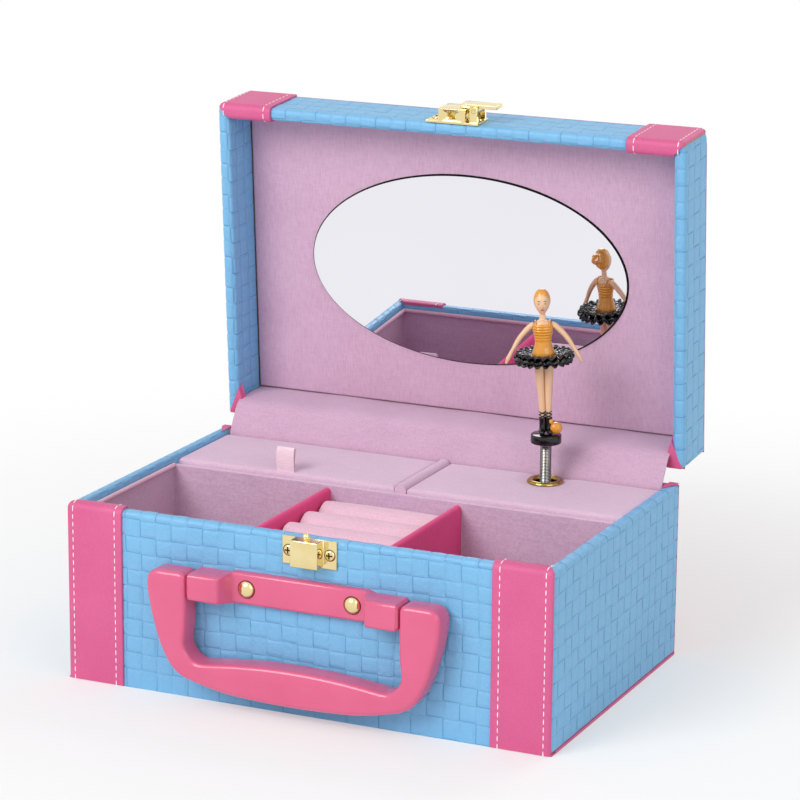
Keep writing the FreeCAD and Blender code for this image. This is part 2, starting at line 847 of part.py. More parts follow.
def bent_sheet(points, thickness, half_width):
    """A sheet that follows points in the YZ plane, thickened to the left of its direction."""
    middle = [FreeCAD.Vector(0, float(y), float(z)) for y, z in points]
    lefts = []
    for first, second in zip(middle, middle[1:]):
        run = (second - first).normalize()
        lefts.append(FreeCAD.Vector(0, -run.z, run.y))
    offset = [middle[0] + lefts[0] * thickness]
    for n in range(1, len(middle) - 1):
        bisector = lefts[n - 1] + lefts[n]
        offset.append(middle[n] + bisector * (2 * thickness / bisector.Length ** 2))
    offset.append(middle[-1] + lefts[-1] * thickness)
    ring = middle + offset[::-1]
    face = Part.Face(Part.makePolygon(ring + ring[:1]))
    sheet_solid = face.extrude(AXES["X"] * 2 * half_width)
    sheet_solid.translate(AXES["X"] * -half_width)
    return sheet_solid


def lid_point(y, z):
    """A closed-lid point in the YZ plane, as it lies with the lid open."""
    return LID.moved(Size.of(0), y, z)[1:]


hinge_half = float(case_side - d.hinge_inset)
lining_y = deck_rear + d.hinge_slack
liner_edge = liner_low - d.hinge_slack / 2
node("hinge_lining", scripted(bent_sheet([
    (lining_y, deck_top - d.lining_tail),
    (lining_y, d.case_height - d.hinge_slack / 2),
    ((lining_y + hinge_y) / 2 - d.hinge_slack, (d.case_height + lid_point(lid_back_in, lid_rim)[1]) / 2),
    lid_point(lid_back_in - d.hinge_slack, lid_rim - d.hinge_slack),
    lid_point(lid_back_in - d.hinge_slack * 2, (lid_rim + liner_edge) / 2),
    lid_point(lid_back_in - d.hinge_slack * 2, liner_edge),
], float(d.hinge_sheet), hinge_half)))
node("hinge_band", scripted(bent_sheet([
    lid_point(lid_rear, lid_rim + d.band_start + d.band_grip),
    lid_point(lid_rear, lid_rim + d.band_start),
    ((case_back + hinge_y) / 2, hinge_z),
    (case_back, d.case_height - d.rim_round),
    (case_back, d.case_height - d.band_tail),
], float(d.hinge_sheet), hinge_half)))

# Movement: the barrel drives the pinned drum, the drum drives the air brake and the dancer's spindle

bed_top = floor + d.bed_thickness
train = [d.front_plate_y + d.plate + d.train_gap]
for _ in range(3):
    train.append(train[-1] + d.train_face + d.train_gap)
brake_y, wheel_y, barrel_y, drum_y = train
rear_end = d.rear_plate_y + d.plate
drum_end = drum_y + d.drum_length
mesh = d.module * (d.wheel_teeth + d.small_teeth) / 2 + d.mesh_play
idler_x = spindle_x + mesh
governor_x = idler_x + mesh * d.governor_angle.cos()
governor_z = d.arbor_height - mesh * d.governor_angle.sin()
comb_x = spindle_x + d.comb_reach
comb_z = d.arbor_height + d.comb_rise
comb_end = comb_x + d.comb_length
pedestal = (comb_x + d.comb_tooth + d.pedestal_margin, comb_end)
comb_screw_x = (pedestal[0] + pedestal[1]) / 2
comb_screw_y = [drum_y + d.comb_screw_inset, drum_end - d.comb_screw_inset]
PRESSURE = math.radians(20)
ADDENDUM = 0.75
DEDENDUM = 1.0
FLANK_POINTS = 5


def spur(teeth, tooth_at, x, z, span, bore=None):
    """An involute gear about an axis along Y, with one tooth centred at the angle tooth_at."""
    teeth = int(float(teeth))
    module = float(d.module)
    pitch = module * teeth / 2
    base = pitch * math.cos(PRESSURE)
    root = pitch - DEDENDUM * module
    tip = pitch + ADDENDUM * module
    half = math.pi / (2 * teeth) - float(d.tooth_play) / (2 * pitch)
    lean = half + math.tan(PRESSURE) - PRESSURE
    flank = []
    for n in range(FLANK_POINTS):
        radius = root + (tip - root) * n / (FLANK_POINTS - 1)
        press = math.acos(min(1.0, base / radius))
        flank.append((radius, lean - (math.tan(press) - press)))
    points = []
    for tooth in range(teeth):
        middle = math.radians(tooth_at) + 2 * math.pi * tooth / teeth
        sides = [(r, middle - a) for r, a in flank] + [(r, middle + a) for r, a in reversed(flank)]
        points += [FreeCAD.Vector(r * math.cos(a), 0, r * math.sin(a)) for r, a in sides]
    face = Part.Face(Part.makePolygon(points + points[:1]))
    width = float(span[1] - span[0])
    solid = face.extrude(AXES["Y"] * width)
    if bore is not None:
        solid = solid.cut(Part.makeCylinder(float(bore), width, FreeCAD.Vector(), AXES["Y"]))
    item = scripted(solid, "gear")
    FIXED.put(item, Size.of(x), Size.of(span[0]), Size.of(z))
    return item


def gap_at(teeth, angle):
    """The tooth angle that leaves a gap centred at the given angle."""
    return angle + 180.0 / float(teeth)


def faces(start):
    return (start, start + d.train_face)


arbors = [(key_x, d.arbor_height, d.winding_radius), (spindle_x, d.arbor_height, d.arbor_radius),
          (idler_x, d.arbor_height, d.arbor_radius), (governor_x, governor_z, d.governor_radius)]
bed_y = (d.front_plate_y - d.bed_margin, rear_end + d.bed_margin)


def bearing(name, low_y):
    span = (low_y, low_y + d.plate)
    node(name, cut(
        box((plate_left, plate_right), span, (bed_top, d.plate_top)),
        *[rod("Y", (x, z), span, radius + d.bearing_play) for x, z, radius in arbors],
    ))


node("bed_plate", cut(
    fuse(box((plate_left, plate_right), bed_y, (floor, bed_top)),
         box(pedestal, (drum_y, drum_end), (bed_top, comb_z))),
    *[rod("Z", at, (floor, bed_top), bolt_hole) for at in bed_screws()],
    *[rod("Z", (comb_screw_x, y), (comb_z - d.pedestal_hole, comb_z), bolt_hole) for y in comb_screw_y],
))
bearing("front_bearing", d.front_plate_y)
bearing("rear_bearing", d.rear_plate_y)

tooth_pitch = d.drum_length / SIZES["comb_teeth"]
node("comb", cut(
    box((comb_x, comb_end), (drum_y, drum_end), (comb_z, comb_z + d.comb_thickness)),
    *[box((comb_x, comb_x + d.comb_tooth),
          (drum_y + n * tooth_pitch - d.comb_slot / 2, drum_y + n * tooth_pitch + d.comb_slot / 2),
          (comb_z, comb_z + d.comb_thickness)) for n in range(1, SIZES["comb_teeth"])],
    *[rod("Z", (comb_screw_x, y), (comb_z, comb_z + d.comb_thickness), bolt_hole) for y in comb_screw_y],
))


def machine_screw(at, seat, depth):
    return fuse(rod("Z", at, (seat, seat + d.machine_screw_rise), d.machine_screw_head),
                rod("Z", at, (seat - depth, seat), d.machine_screw_shank))


node("movement_screws", group(
    *[machine_screw(at, bed_top, d.bed_thickness + d.base_thickness) for at in bed_screws()],
    *[machine_screw((comb_screw_x, y), comb_z + d.comb_thickness, d.comb_thickness + d.pedestal_hole)
      for y in comb_screw_y],
))

spring_case = spindle_x - key_x - d.drum_radius - d.drum_pin_rise - d.barrel_clear
barrel_body = (barrel_y + d.train_face, barrel_y + d.train_face + d.barrel_length)
winding_bore = d.winding_radius + d.bearing_play
barrel_shell = cut(
    rod("Y", (key_x, d.arbor_height), barrel_body, spring_case),
    rod("Y", (key_x, d.arbor_height), (barrel_body[0] + d.barrel_wall, barrel_body[1] - d.barrel_wall),
        spring_case - d.barrel_wall),
    rod("Y", (key_x, d.arbor_height), barrel_body, winding_bore),
)
node("barrel", fuse(
    barrel_shell,
    spur(d.barrel_teeth, gap_at(d.barrel_teeth, 0), key_x, d.arbor_height, faces(barrel_y), winding_bore),
))


SPIRAL_POINTS = 16


def spiral_strip():
    """The mainspring, a strip wound from the arbor out to the wall of the barrel."""
    inner = float(winding_bore + d.barrel_wall)
    outer = float(spring_case - d.barrel_wall * 2)
    strip = float(d.mainspring_strip)
    turns = float(d.mainspring_turns)
    steps = int(turns * SPIRAL_POINTS)

    def side(shift):
        spots = []
        for n in range(steps + 1):
            angle = 2 * math.pi * turns * n / steps
            radius = inner + (outer - inner) * n / steps + shift
            spots.append(FreeCAD.Vector(radius * math.cos(angle), 0, radius * math.sin(angle)))
        curve = Part.BSplineCurve()
        curve.interpolate(spots)
        return curve.toShape(), spots

    near, near_spots = side(-strip / 2)
    distant, distant_spots = side(strip / 2)
    ends = [Part.makeLine(near_spots[n], distant_spots[n]) for n in (0, -1)]
    face = Part.Face(Part.Wire(Part.__sortEdges__([near, ends[1], distant, ends[0]])))
    return face.extrude(AXES["Y"] * float(d.barrel_length - 4 * d.barrel_wall))


mainspring = scripted(spiral_strip(), "spiral")
FIXED.put(mainspring, key_x, barrel_body[0] + 2 * d.barrel_wall, d.arbor_height)
node("mainspring", mainspring)


TUNE_BEATS = 3
BEAT_TURN = 120
TRACK_TURN = 47
BEAT_SHIFT = 13
PIN_ROOT = 0.5


def drum_shape():
    """The brass cylinder with its tune pins, along Y from the origin."""
    length = float(d.drum_length)
    radius = float(d.drum_radius)
    solid = Part.makeCylinder(radius, length, FreeCAD.Vector(), AXES["Y"])
    pins = []
    pin_length = float(d.drum_pin_rise) + PIN_ROOT
    tracks = SIZES["comb_teeth"]
    for track in range(tracks):
        for beat in range(TUNE_BEATS):
            angle = math.radians(BEAT_TURN * beat + TRACK_TURN * track + BEAT_SHIFT * track * beat)
            way = FreeCAD.Vector(math.cos(angle), 0, math.sin(angle))
            foot = way * (radius - PIN_ROOT) + AXES["Y"] * (length * (track + 0.5) / tracks)
            pins.append(Part.makeCylinder(float(d.drum_pin), pin_length, foot, way))
    solid = solid.fuse(pins)
    return solid.cut(Part.makeCylinder(float(d.arbor_radius), length, FreeCAD.Vector(), AXES["Y"]))


drum = scripted(drum_shape(), "tune_cylinder")
FIXED.put(drum, spindle_x, drum_y, d.arbor_height)
node("drum", drum)

crown_y = d.spindle_y - d.crown_radius
crown_span = (crown_y - d.crown_face / 2, crown_y + d.crown_face / 2)
fin_radius = d.crown_radius * d.crown_fins / d.crown_pins
crown_tip = fin_radius + d.crown_depth / 2
crown_step = 360.0 / SIZES["crown_pins"]
fin_step = 360.0 / SIZES["crown_fins"]


def crown_pinion_shape():
    """A hub with straight fins, half a step off the top so that a pin rests in a gap."""
    width = float(d.crown_face)
    solid = Part.makeCylinder(float(d.crown_hub), width, FreeCAD.Vector(), AXES["Y"])
    for n in range(SIZES["crown_fins"]):
        fin = Part.makeBox(float(d.crown_fin), width, float(crown_tip))
        fin.translate(FreeCAD.Vector(-float(d.crown_fin) / 2, 0, 0))
        fin.rotate(FreeCAD.Vector(), AXES["Y"], fin_step * (n + 0.5))
        solid = solid.fuse(fin)
    return solid


crown_pinion = scripted(crown_pinion_shape(), "crown_pinion")
FIXED.put(crown_pinion, spindle_x, crown_span[0], d.arbor_height)
node("drum_arbor", fuse(
    rod("Y", (spindle_x, d.arbor_height), (d.front_plate_y, rear_end), d.arbor_radius),
    spur(d.wheel_teeth, 0, spindle_x, d.arbor_height, faces(wheel_y)),
    spur(d.pinion_teeth, 180, spindle_x, d.arbor_height, faces(barrel_y)),
    crown_pinion,
))
node("idler", fuse(
    rod("Y", (idler_x, d.arbor_height), (d.front_plate_y, rear_end), d.arbor_radius),
    spur(d.small_teeth, gap_at(d.small_teeth, 180), idler_x, d.arbor_height, faces(wheel_y)),
    spur(d.wheel_teeth, -float(d.governor_angle), idler_x, d.arbor_height, faces(brake_y)),
))
node("governor", fuse(
    rod("Y", (governor_x, governor_z), (d.front_plate_y, rear_end), d.governor_radius),
    spur(d.small_teeth, gap_at(d.small_teeth, 180 - float(d.governor_angle)), governor_x, governor_z,
         faces(brake_y)),
))
fan_y = (d.rear_plate_y - d.train_gap - d.fan_length, d.rear_plate_y - d.train_gap)
node("governor_fan", cut(
    box((governor_x - d.fan_blade / 2, governor_x + d.fan_blade / 2), fan_y,
        (governor_z - d.fan_radius, governor_z + d.fan_radius)),
    rod("Y", (governor_x, governor_z), fan_y, d.governor_radius),
))

bridge_y = d.rear_plate_y - d.bridge_plate
bridge_x = (spindle_x - d.bridge_half, spindle_x + d.bridge_half)
bridge_top = d.bridge_height + d.bridge_plate
spindle_at = (spindle_x, d.spindle_y)
node("spindle_bridge", cut(
    fuse(box(bridge_x, (d.spindle_y - d.bridge_reach, d.rear_plate_y), (d.bridge_height, bridge_top)),
         box(bridge_x, (bridge_y, d.rear_plate_y), (d.bridge_height - d.bridge_leg, d.bridge_height))),
    rod("Z", spindle_at, (d.bridge_height, bridge_top), d.spindle_radius + d.bearing_play),
))
crown_low = d.arbor_height + crown_tip + d.crown_gap
crown_pins = []
for n in range(SIZES["crown_pins"]):
    angle = Size.of(crown_step * n - 90)
    at = (spindle_x + d.crown_radius * angle.cos(), d.spindle_y + d.crown_radius * angle.sin())
    low = d.arbor_height + fin_radius - d.crown_depth / 2
    crown_pins.append(rod("Z", at, (low, crown_low), d.crown_pin))
spindle_top = deck_low
collar_low = bridge_top + d.bearing_play
node("spindle", fuse(
    rod("Z", spindle_at, (crown_low, spindle_top), d.spindle_radius),
    rod("Z", spindle_at, (crown_low, crown_low + d.crown_plate), d.crown_radius + 2 * d.crown_pin),
    rod("Z", spindle_at, (collar_low, collar_low + d.collar_height), d.collar_radius),
    *crown_pins,
))

# Winding key on the back

escutcheon_face = case_back + d.escutcheon_thickness
key_start = escutcheon_face + d.key_gap
key_end = key_start + d.key_length
wing_radius = d.key_wing / 2
wing_y = key_end - wing_radius
wing_z = (d.arbor_height - d.key_wing_thickness / 2, d.arbor_height + d.key_wing_thickness / 2)
node("escutcheon", cut(
    rod("Y", (key_x, d.arbor_height), (case_back, escutcheon_face), d.escutcheon),
    rod("Y", (key_x, d.arbor_height), (case_back, escutcheon_face), winding_bore),
))
node("winding_arbor", rod("Y", (key_x, d.arbor_height), (d.front_plate_y, wing_y), d.winding_radius))
WING_SPREAD = 0.9
wing_x = [key_x + way * wing_radius * WING_SPREAD for way in (-1, 1)]
wings = [rod("Z", (x, wing_y), wing_z, wing_radius) for x in wing_x]
eyes = [rod("Z", (x, wing_y), wing_z, wing_radius / 2) for x in wing_x]
boss = rod("Y", (key_x, d.arbor_height), (key_start, wing_y), d.key_boss)
node("wind_key", cut(
    fuse(cut(fuse(*wings), *eyes), boss),
    rod("Y", (key_x, d.arbor_height), (key_start, wing_y), d.winding_radius),
))

# Dancer on a coil spring

spring_low = deck_low - d.spring_overlap
spring_top = deck_top + d.spring_rise
node("bend_spring", cut(
    rod("Z", spindle_at, (spring_low, spring_top), d.spring_radius),
    rod("Z", spindle_at, (spring_low, spring_top), d.spring_bore),
))
stand_top = spring_top + d.stand_height
tutu_low = stand_top + d.leg_height
waist_height = stand_top + d.waist_rise
shoulder_height = stand_top + d.shoulder_rise
head_height = stand_top + d.head_rise
hand_height = stand_top + d.hand_rise
STAND_SHOULDER = 0.6
STAND_TOP = 0.85
LIMB_TAPER = 0.75
ARM_SET = 0.8
HAND_SIZE = 0.8
BUN_SET = 0.6
BUN_RISE = 0.9
SKIRT_HIP = 0.64
SKIRT_FRILL = 0.65
node("dancer_stand", turned("stand_body", [
    (0, -d.stand_pin),
    (d.spring_bore - 2 * d.bearing_play, -d.stand_pin),
    (d.spring_bore - 2 * d.bearing_play, 0),
    (d.stand_radius, 0),
    (d.stand_radius, d.stand_height * STAND_SHOULDER),
    (d.stand_radius * STAND_TOP, d.stand_height),
    (0, d.stand_height),
], (spindle_x, d.spindle_y, spring_top)))


def limb(start, end, radius):
    """A straight tapering limb between two points."""
    first = FreeCAD.Vector(*map(float, start))
    run = FreeCAD.Vector(*map(float, end)) - first
    cone_shape = Part.makeCone(float(radius), float(radius) * LIMB_TAPER, run.Length, first, run)
    return scripted(cone_shape, "limb")


def sideways(reach):
    """A point to the dancer's side, at right angles to the way it faces."""
    return (spindle_x + reach * d.facing_angle.cos(), d.spindle_y + reach * d.facing_angle.sin())


hip = tutu_low + d.tutu_rise / 2
arm_height = shoulder_height - d.arm_radius
bun_back = d.bun_radius * BUN_SET
parts = []
for way in (-1, 1):
    foot = sideways(way * d.leg_spread)
    hand = sideways(way * d.hand_reach) + (hand_height,)
    shoulder = sideways(way * d.shoulder_radius * ARM_SET) + (arm_height,)
    parts += [
        cone(foot, (stand_top, stand_top + d.boot_height), d.boot_radius, d.leg_radius),
        rod("Z", foot, (stand_top + d.boot_height, hip), d.leg_radius),
        limb(shoulder, hand, d.arm_radius),
        ball(hand, d.arm_radius * HAND_SIZE),
        ball(shoulder, d.arm_radius),
    ]
parts += [
    cone(spindle_at, (hip - d.leg_radius, waist_height), d.waist_radius, d.waist_radius),
    cone(spindle_at, (waist_height, arm_height), d.waist_radius, d.shoulder_radius),
    cone(spindle_at, (arm_height, shoulder_height + d.neck_radius), d.shoulder_radius, d.neck_radius),
    rod("Z", spindle_at, (shoulder_height, head_height), d.neck_radius),
    ball((spindle_x, d.spindle_y, head_height), d.head_radius),
    ball((spindle_x - bun_back * d.facing_angle.sin(), d.spindle_y + bun_back * d.facing_angle.cos(),
          head_height + d.head_radius * BUN_RISE), d.bun_radius),
]
node("dancer_figure", fuse(*parts))
frill = d.tutu_rise * SKIRT_FRILL
skirt_hip = d.tutu_radius * SKIRT_HIP
node("dancer_tutu", turned("tutu_body", [
    (d.tutu_bore, 0),
    (skirt_hip, 0),
    (d.tutu_radius, d.tutu_rise - frill),
    (d.tutu_radius, d.tutu_rise),
    (skirt_hip, frill),
    (d.tutu_bore, frill),
], (spindle_x, d.spindle_y, tutu_low)))

doc.recompute()
for item in doc.Objects:
    if "Invalid" in item.State or "Error" in item.State:
        raise RuntimeError("failed: " + item.Name + " " + item.Label)
for name, item in finished.items():
    if item.Shape.isNull() or not item.Shape.isValid():
        raise RuntimeError("bad shape: " + name)

os.makedirs("parts", exist_ok=True)
for name, item in finished.items():
    item.Shape.exportStep("parts/" + name + ".step")
print(len(finished), "parts written")
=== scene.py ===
# %% [markdown]
# A wind-up music box, dressed in Blender.
# The solids of the box come in first as a fixed frame in metres: +Z is up, +Y is the back. Each later
# cell adds one finish or one piece in that frame, says what it is on the real box, and makes it.

# %% Load the frame
import json
import math
from contextlib import contextmanager

import bmesh
import bpy
import numpy as np
from mathutils import Matrix, Vector

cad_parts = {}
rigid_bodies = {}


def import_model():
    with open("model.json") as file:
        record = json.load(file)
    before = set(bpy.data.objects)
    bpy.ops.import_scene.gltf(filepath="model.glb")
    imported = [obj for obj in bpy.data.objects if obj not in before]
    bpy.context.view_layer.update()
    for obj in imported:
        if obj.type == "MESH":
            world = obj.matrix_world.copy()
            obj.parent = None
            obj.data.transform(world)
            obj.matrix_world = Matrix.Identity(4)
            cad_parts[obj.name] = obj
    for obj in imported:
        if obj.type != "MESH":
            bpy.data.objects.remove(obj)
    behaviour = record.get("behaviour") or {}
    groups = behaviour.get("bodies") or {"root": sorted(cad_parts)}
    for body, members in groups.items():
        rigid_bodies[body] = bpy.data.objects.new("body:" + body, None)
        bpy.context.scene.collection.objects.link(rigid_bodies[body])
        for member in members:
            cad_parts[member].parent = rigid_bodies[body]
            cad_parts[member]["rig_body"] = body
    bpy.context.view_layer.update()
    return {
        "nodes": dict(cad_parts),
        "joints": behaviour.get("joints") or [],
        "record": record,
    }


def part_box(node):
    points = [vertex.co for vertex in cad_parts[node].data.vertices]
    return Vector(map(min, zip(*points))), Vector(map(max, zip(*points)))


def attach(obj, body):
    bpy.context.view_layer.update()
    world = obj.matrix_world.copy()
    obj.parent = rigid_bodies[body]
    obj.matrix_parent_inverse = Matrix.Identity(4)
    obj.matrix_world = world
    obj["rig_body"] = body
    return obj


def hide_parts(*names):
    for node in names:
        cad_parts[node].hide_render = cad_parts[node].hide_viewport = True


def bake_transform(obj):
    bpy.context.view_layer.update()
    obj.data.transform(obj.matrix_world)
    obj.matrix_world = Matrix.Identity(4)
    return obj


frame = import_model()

MM = 0.001
BOTH = (-1, 1)
scene = bpy.context.scene
nodes = frame["nodes"]
joints = {joint["name"]: joint for joint in frame["joints"]}
slot_of = {part["node"]: part["material_slot"] for part in frame["record"]["subparts"]}

# %% [markdown]
# The camera stands where the photographer stood: to the right, a little above, and far enough away that
# the box hardly narrows. A long lens on a normal sensor gives that flat view. The turn is written as
# azimuth, elevation and roll, because those are the three numbers one would read off a tripod.

# %% Camera
AZIMUTH, ELEVATION, CAMERA_ROLL = (math.radians(angle) for angle in (24.655, 14.4316, 0.4567))
TRIPOD = (0.480997, -1.028905, 0.391053)
SENSOR, FOCAL_PIXELS, PICTURE_PIXELS = 36.0, 3323.67, 800


def add_object(name, data):
    """A new object in the scene."""
    made = bpy.data.objects.new(name, data)
    scene.collection.objects.link(made)
    return made


camera = add_object("camera", bpy.data.cameras.new("camera"))
scene.camera = camera
camera.data.sensor_width = SENSOR
camera.data.lens = SENSOR * FOCAL_PIXELS / PICTURE_PIXELS
back = Vector((math.sin(AZIMUTH) * math.cos(ELEVATION), -math.cos(AZIMUTH) * math.cos(ELEVATION),
               math.sin(ELEVATION)))
right = Vector((math.cos(AZIMUTH), math.sin(AZIMUTH), 0))
level = Matrix((right, back.cross(right), back)).transposed()
camera.matrix_world = Matrix.Translation(TRIPOD) @ (level @ Matrix.Rotation(CAMERA_ROLL, 3, "Z")).to_4x4()
print("lens", round(camera.data.lens, 1), "mm")

# %% [markdown]
# Materials are written as arithmetic. One small class wraps a socket, so that `1 - mask` or `a * b` adds
# the Math nodes, and one method adds any other node. A finish is then a function from the coordinates of
# a piece to what drives its colour, roughness and relief, and everything constant sits on the shader.

# %% Shader helpers
class Wire:
    """A socket of a node tree; arithmetic on it adds Math nodes."""

    def __init__(self, tree, socket=None):
        self.tree = tree
        self.socket = socket

    def node(self, kind, settings=None, sockets=None, out=0):
        made = self.tree.nodes.new(kind)
        for name, value in (settings or {}).items():
            setattr(made, name, value)
        for name, value in (sockets or {}).items():
            if isinstance(value, Wire):
                self.tree.links.new(value.socket, made.inputs[name])
            else:
                made.inputs[name].default_value = value
        return Wire(self.tree, made.outputs[out])

    def math(self, operation, *values):
        return self.node("ShaderNodeMath", {"operation": operation}, dict(enumerate(values)))

    def __add__(self, other):
        return self.math("ADD", self, other)

    def __sub__(self, other):
        return self.math("SUBTRACT", self, other)

    def __rsub__(self, other):
        return self.math("SUBTRACT", other, self)

    def __mul__(self, other):
        return self.math("MULTIPLY", self, other)

    __radd__ = __add__
    __rmul__ = __mul__

    def axis(self, name):
        return self.node("ShaderNodeSeparateXYZ", None, {0: self}, out=name)

    def step(self, low, high):
        """0 below low, 1 above high and smooth between."""
        return self.node("ShaderNodeMapRange", {"interpolation_type": "SMOOTHSTEP"},
                         {"Value": self, "From Min": low, "From Max": high})

    def tint(self, *ends):
        """The first colour where this is 0 and the second where it is 1."""
        low, high = (end if isinstance(end, Wire) else shade(end) for end in ends)
        return self.node("ShaderNodeMix", {"data_type": "RGBA"}, {0: self, 6: low, 7: high}, out=2)

    def noise(self, grain, detail=2.0, stretch=(1, 1, 1)):
        """Soft noise whose blobs are about grain millimetres across."""
        at = self.node("ShaderNodeMapping", None, {"Vector": self, "Scale": stretch})
        return self.node("ShaderNodeTexNoise", None,
                         {"Vector": at, "Scale": 1 / (grain * MM), "Detail": detail})


def shade(code):
    """A screen colour as the linear colour that shaders use."""
    parts = [int(code[n:n + 2], 16) / 255 for n in (1, 3, 5)]
    return tuple(p / 12.92 if p <= 0.04045 else ((p + 0.055) / 1.055) ** 2.4 for p in parts) + (1.0,)


by_slot, slot_by_finish = {}, {}


def finish(name, slot, build, **constants):
    """A material for a slot: its varying sockets come from build, its constants sit on the shader."""
    material = bpy.data.materials.new(name)
    material.use_nodes = True
    shader = material.node_tree.nodes["Principled BSDF"]
    for socket, value in constants.items():
        shader.inputs[socket.replace("_", " ")].default_value = value
    place = Wire(material.node_tree).node("ShaderNodeTexCoord", out="Object")
    looks = build(place)
    if "Relief" in looks:
        height, depth = looks.pop("Relief")
        looks["Normal"] = place.node("ShaderNodeBump", None, {"Height": height, "Distance": depth * MM})
    for socket, wire in looks.items():
        material.node_tree.links.new(wire.socket, shader.inputs[socket])
    by_slot.setdefault(slot, material)
    slot_by_finish[material.name] = slot
    return material


print("helpers ready")

# %% [markdown]
# The outside is blue leatherette, embossed like a basket: broad flat strips pass over and under each other.
# The form of the weave is pressed into the mesh, further down. The material reads a UV map that runs along
# the walls in metres. On it the squares are strips that stand and lie by turns: the material dips the ends of
# each, paints shade along the left, lower and upper steps of the standing ones, paints shade into the pores of
# the grain, and adds pores and creases as a fine bump.

# %% Leatherette
CELL = 6.1 * MM
WEAVE_DEPTH = 0.32


def leather_grain(place):
    """Fine leather pores with shallow creases between them."""
    pores = place.node("ShaderNodeTexVoronoi", {"feature": "DISTANCE_TO_EDGE"},
                       {"Vector": place, "Scale": 1 / (0.75 * MM)})
    return pores.step(0.0, 0.3) * 0.5 + place.noise(0.5) * 0.5


def basket(place):
    flat = place.node("ShaderNodeUVMap", {"uv_map": "weave"})
    across, upward = flat.axis("X") * (1 / CELL), flat.axis("Y") * (1 / CELL)
    upright = place.math("FLOORED_MODULO", place.math("FLOOR", across) + place.math("FLOOR", upward), 2.0)
    from_left, from_below = place.math("FRACT", across), place.math("FRACT", upward)
    a, b = (place.math("ABSOLUTE", part - 0.5) * 2 for part in (from_left, from_below))
    run, side = a + (b - a) * upright, b + (a - b) * upright
    height = 1 - run.step(0.62, 1.0) * 0.8 - side.step(0.95, 1.0) * 0.2
    grain, crease = leather_grain(place), place.noise(1.8, 5.0)
    # Masks of the left, lower and upper steps of the standing strips, for painted shade along them.
    left_step_shade, foot_step_shade = (1 - part.step(0.01, 0.09) for part in (from_left, from_below))
    head_step_shade = from_below.step(0.92, 0.99)
    outline = place.math("MAXIMUM", left_step_shade * 0.9, place.math("MAXIMUM", foot_step_shade * 0.7, head_step_shade * 0.3))
    # Painted shade along those steps, left out here and there by noise.
    seam_and_step_shade = outline * upright * place.noise(10.0).step(0.3, 0.5)
    base = place.noise(40.0).tint("#76B4DE", "#81BEE6")
    # The colour darkens along the steps and in the pores of the grain: painted shade.
    return {"Base Color": (seam_and_step_shade * 0.75 + (1 - grain) * 0.2).tint(base, "#3F7FB2"),
            "Roughness": 0.42 + grain * -0.08 + seam_and_step_shade * 0.2,
            "Relief": (height * 0.6 + grain * 0.2 + crease * 0.75, WEAVE_DEPTH)}


def smooth_leather(place):
    grain = leather_grain(place)
    base = place.noise(18.0).tint("#D4598D", "#DE6899")
    # The colour darkens in the pores of the grain: painted shade.
    return {"Base Color": ((1 - grain) * 0.35).tint(base, "#B2416F"), "Roughness": 0.5 - grain * 0.1,
            "Relief": (grain + place.noise(6.0) * 1.5, 0.1)}


blue_leather = finish("blue basket leatherette", "blue_leatherette", basket, Specular_IOR_Level=0.4)
pink_leather = finish("pink leatherette", "pink_leatherette", smooth_leather, Specular_IOR_Level=0.4)
print("leatherette:", blue_leather.name, "and", pink_leather.name)

# %% [markdown]
# Inside, everything is cloth. The lid and the decks have a linen-backed velour with faint upright threads;
# the copy on the decks and rolled tops is painted lighter, as painted light on faces turned up. The tray has a
# greyer flock with a coarser grain, painted darker as shade down in the case, and the ring rolls a pale plush.
# Cloth scatters light at its edges, so each finish has a little sheen, and its threads come from noise that is
# stretched along one axis.

# %% Fabrics
UPRIGHT, CROSSWISE, RIBBED, EVEN = (1, 1, 0.12), (0.12, 1, 1), (0.1, 1, 1), (1, 1, 1)


def cloth(low, high, grain=0.45, depth=0.05, threads=EVEN):
    def build(place):
        upright, crosswise = place.noise(grain, 3.0, threads), place.noise(grain, 3.0, CROSSWISE)
        mask = upright * 0.5 + crosswise * 0.3 + place.noise(22.0) * 0.2
        return {"Base Color": mask.step(0.3, 0.7).tint(low, high), "Roughness": 0.8 + upright * 0.15,
                "Relief": (upright + crosswise, depth)}
    return build


SHEEN = {"Sheen_Weight": 0.25, "Sheen_Roughness": 0.5, "Specular_IOR_Level": 0.15}
lilac = finish("lilac lining cloth", "lilac_fabric", cloth("#C49DB7", "#D4B1C8", threads=UPRIGHT), **SHEEN)
# A lighter copy of the lining cloth for the decks and rolled tops: painted light on faces turned up.
lit_velour = finish("deck velour painted lighter", "lilac_fabric", cloth("#D3B1C9", "#E2C4D8", 0.5), **SHEEN)
# A darker, greyer copy with a coarser grain for the tray and compartment: the grain is the cloth's, the darker
# colour painted shade.
shaded_flock = finish("lilac flock painted darker", "lilac_fabric", cloth("#BC9AB4", "#CDADC6", 0.8, 0.08), **SHEEN)
magenta = finish("magenta cloth", "magenta_fabric", cloth("#DC3478", "#E84588", threads=UPRIGHT), **SHEEN)
plush = finish("pale pink plush", "pale_pink_fabric", cloth("#E0B4C6", "#ECC6D6", 0.7, 0.09), **SHEEN)
satin = finish("pale ribbon satin", "ribbon", cloth("#F2CEDC", "#FBE6EE", 0.3, 0.03, RIBBED), Sheen_Weight=0.4)
thread = finish("white thread", "pink_leatherette", cloth("#EFEAEA", "#FFFFFF", 0.3, 0.06), Sheen_Weight=0.3)
finish("grey board", "board", cloth("#9A8E82", "#B3A698", 1.5, 0.06), Specular_IOR_Level=0.2)
print("seven fabrics and the board")

# %% [markdown]
# The hard parts: gold plate on the latch, rivets and key, brass and steel in the movement, glossy moulded
# plastic for the handle and the dancer. Each one keeps its own small unevenness: brushed streaks on metal,
# slow ripples on plastic, so that reflections are not perfectly straight.

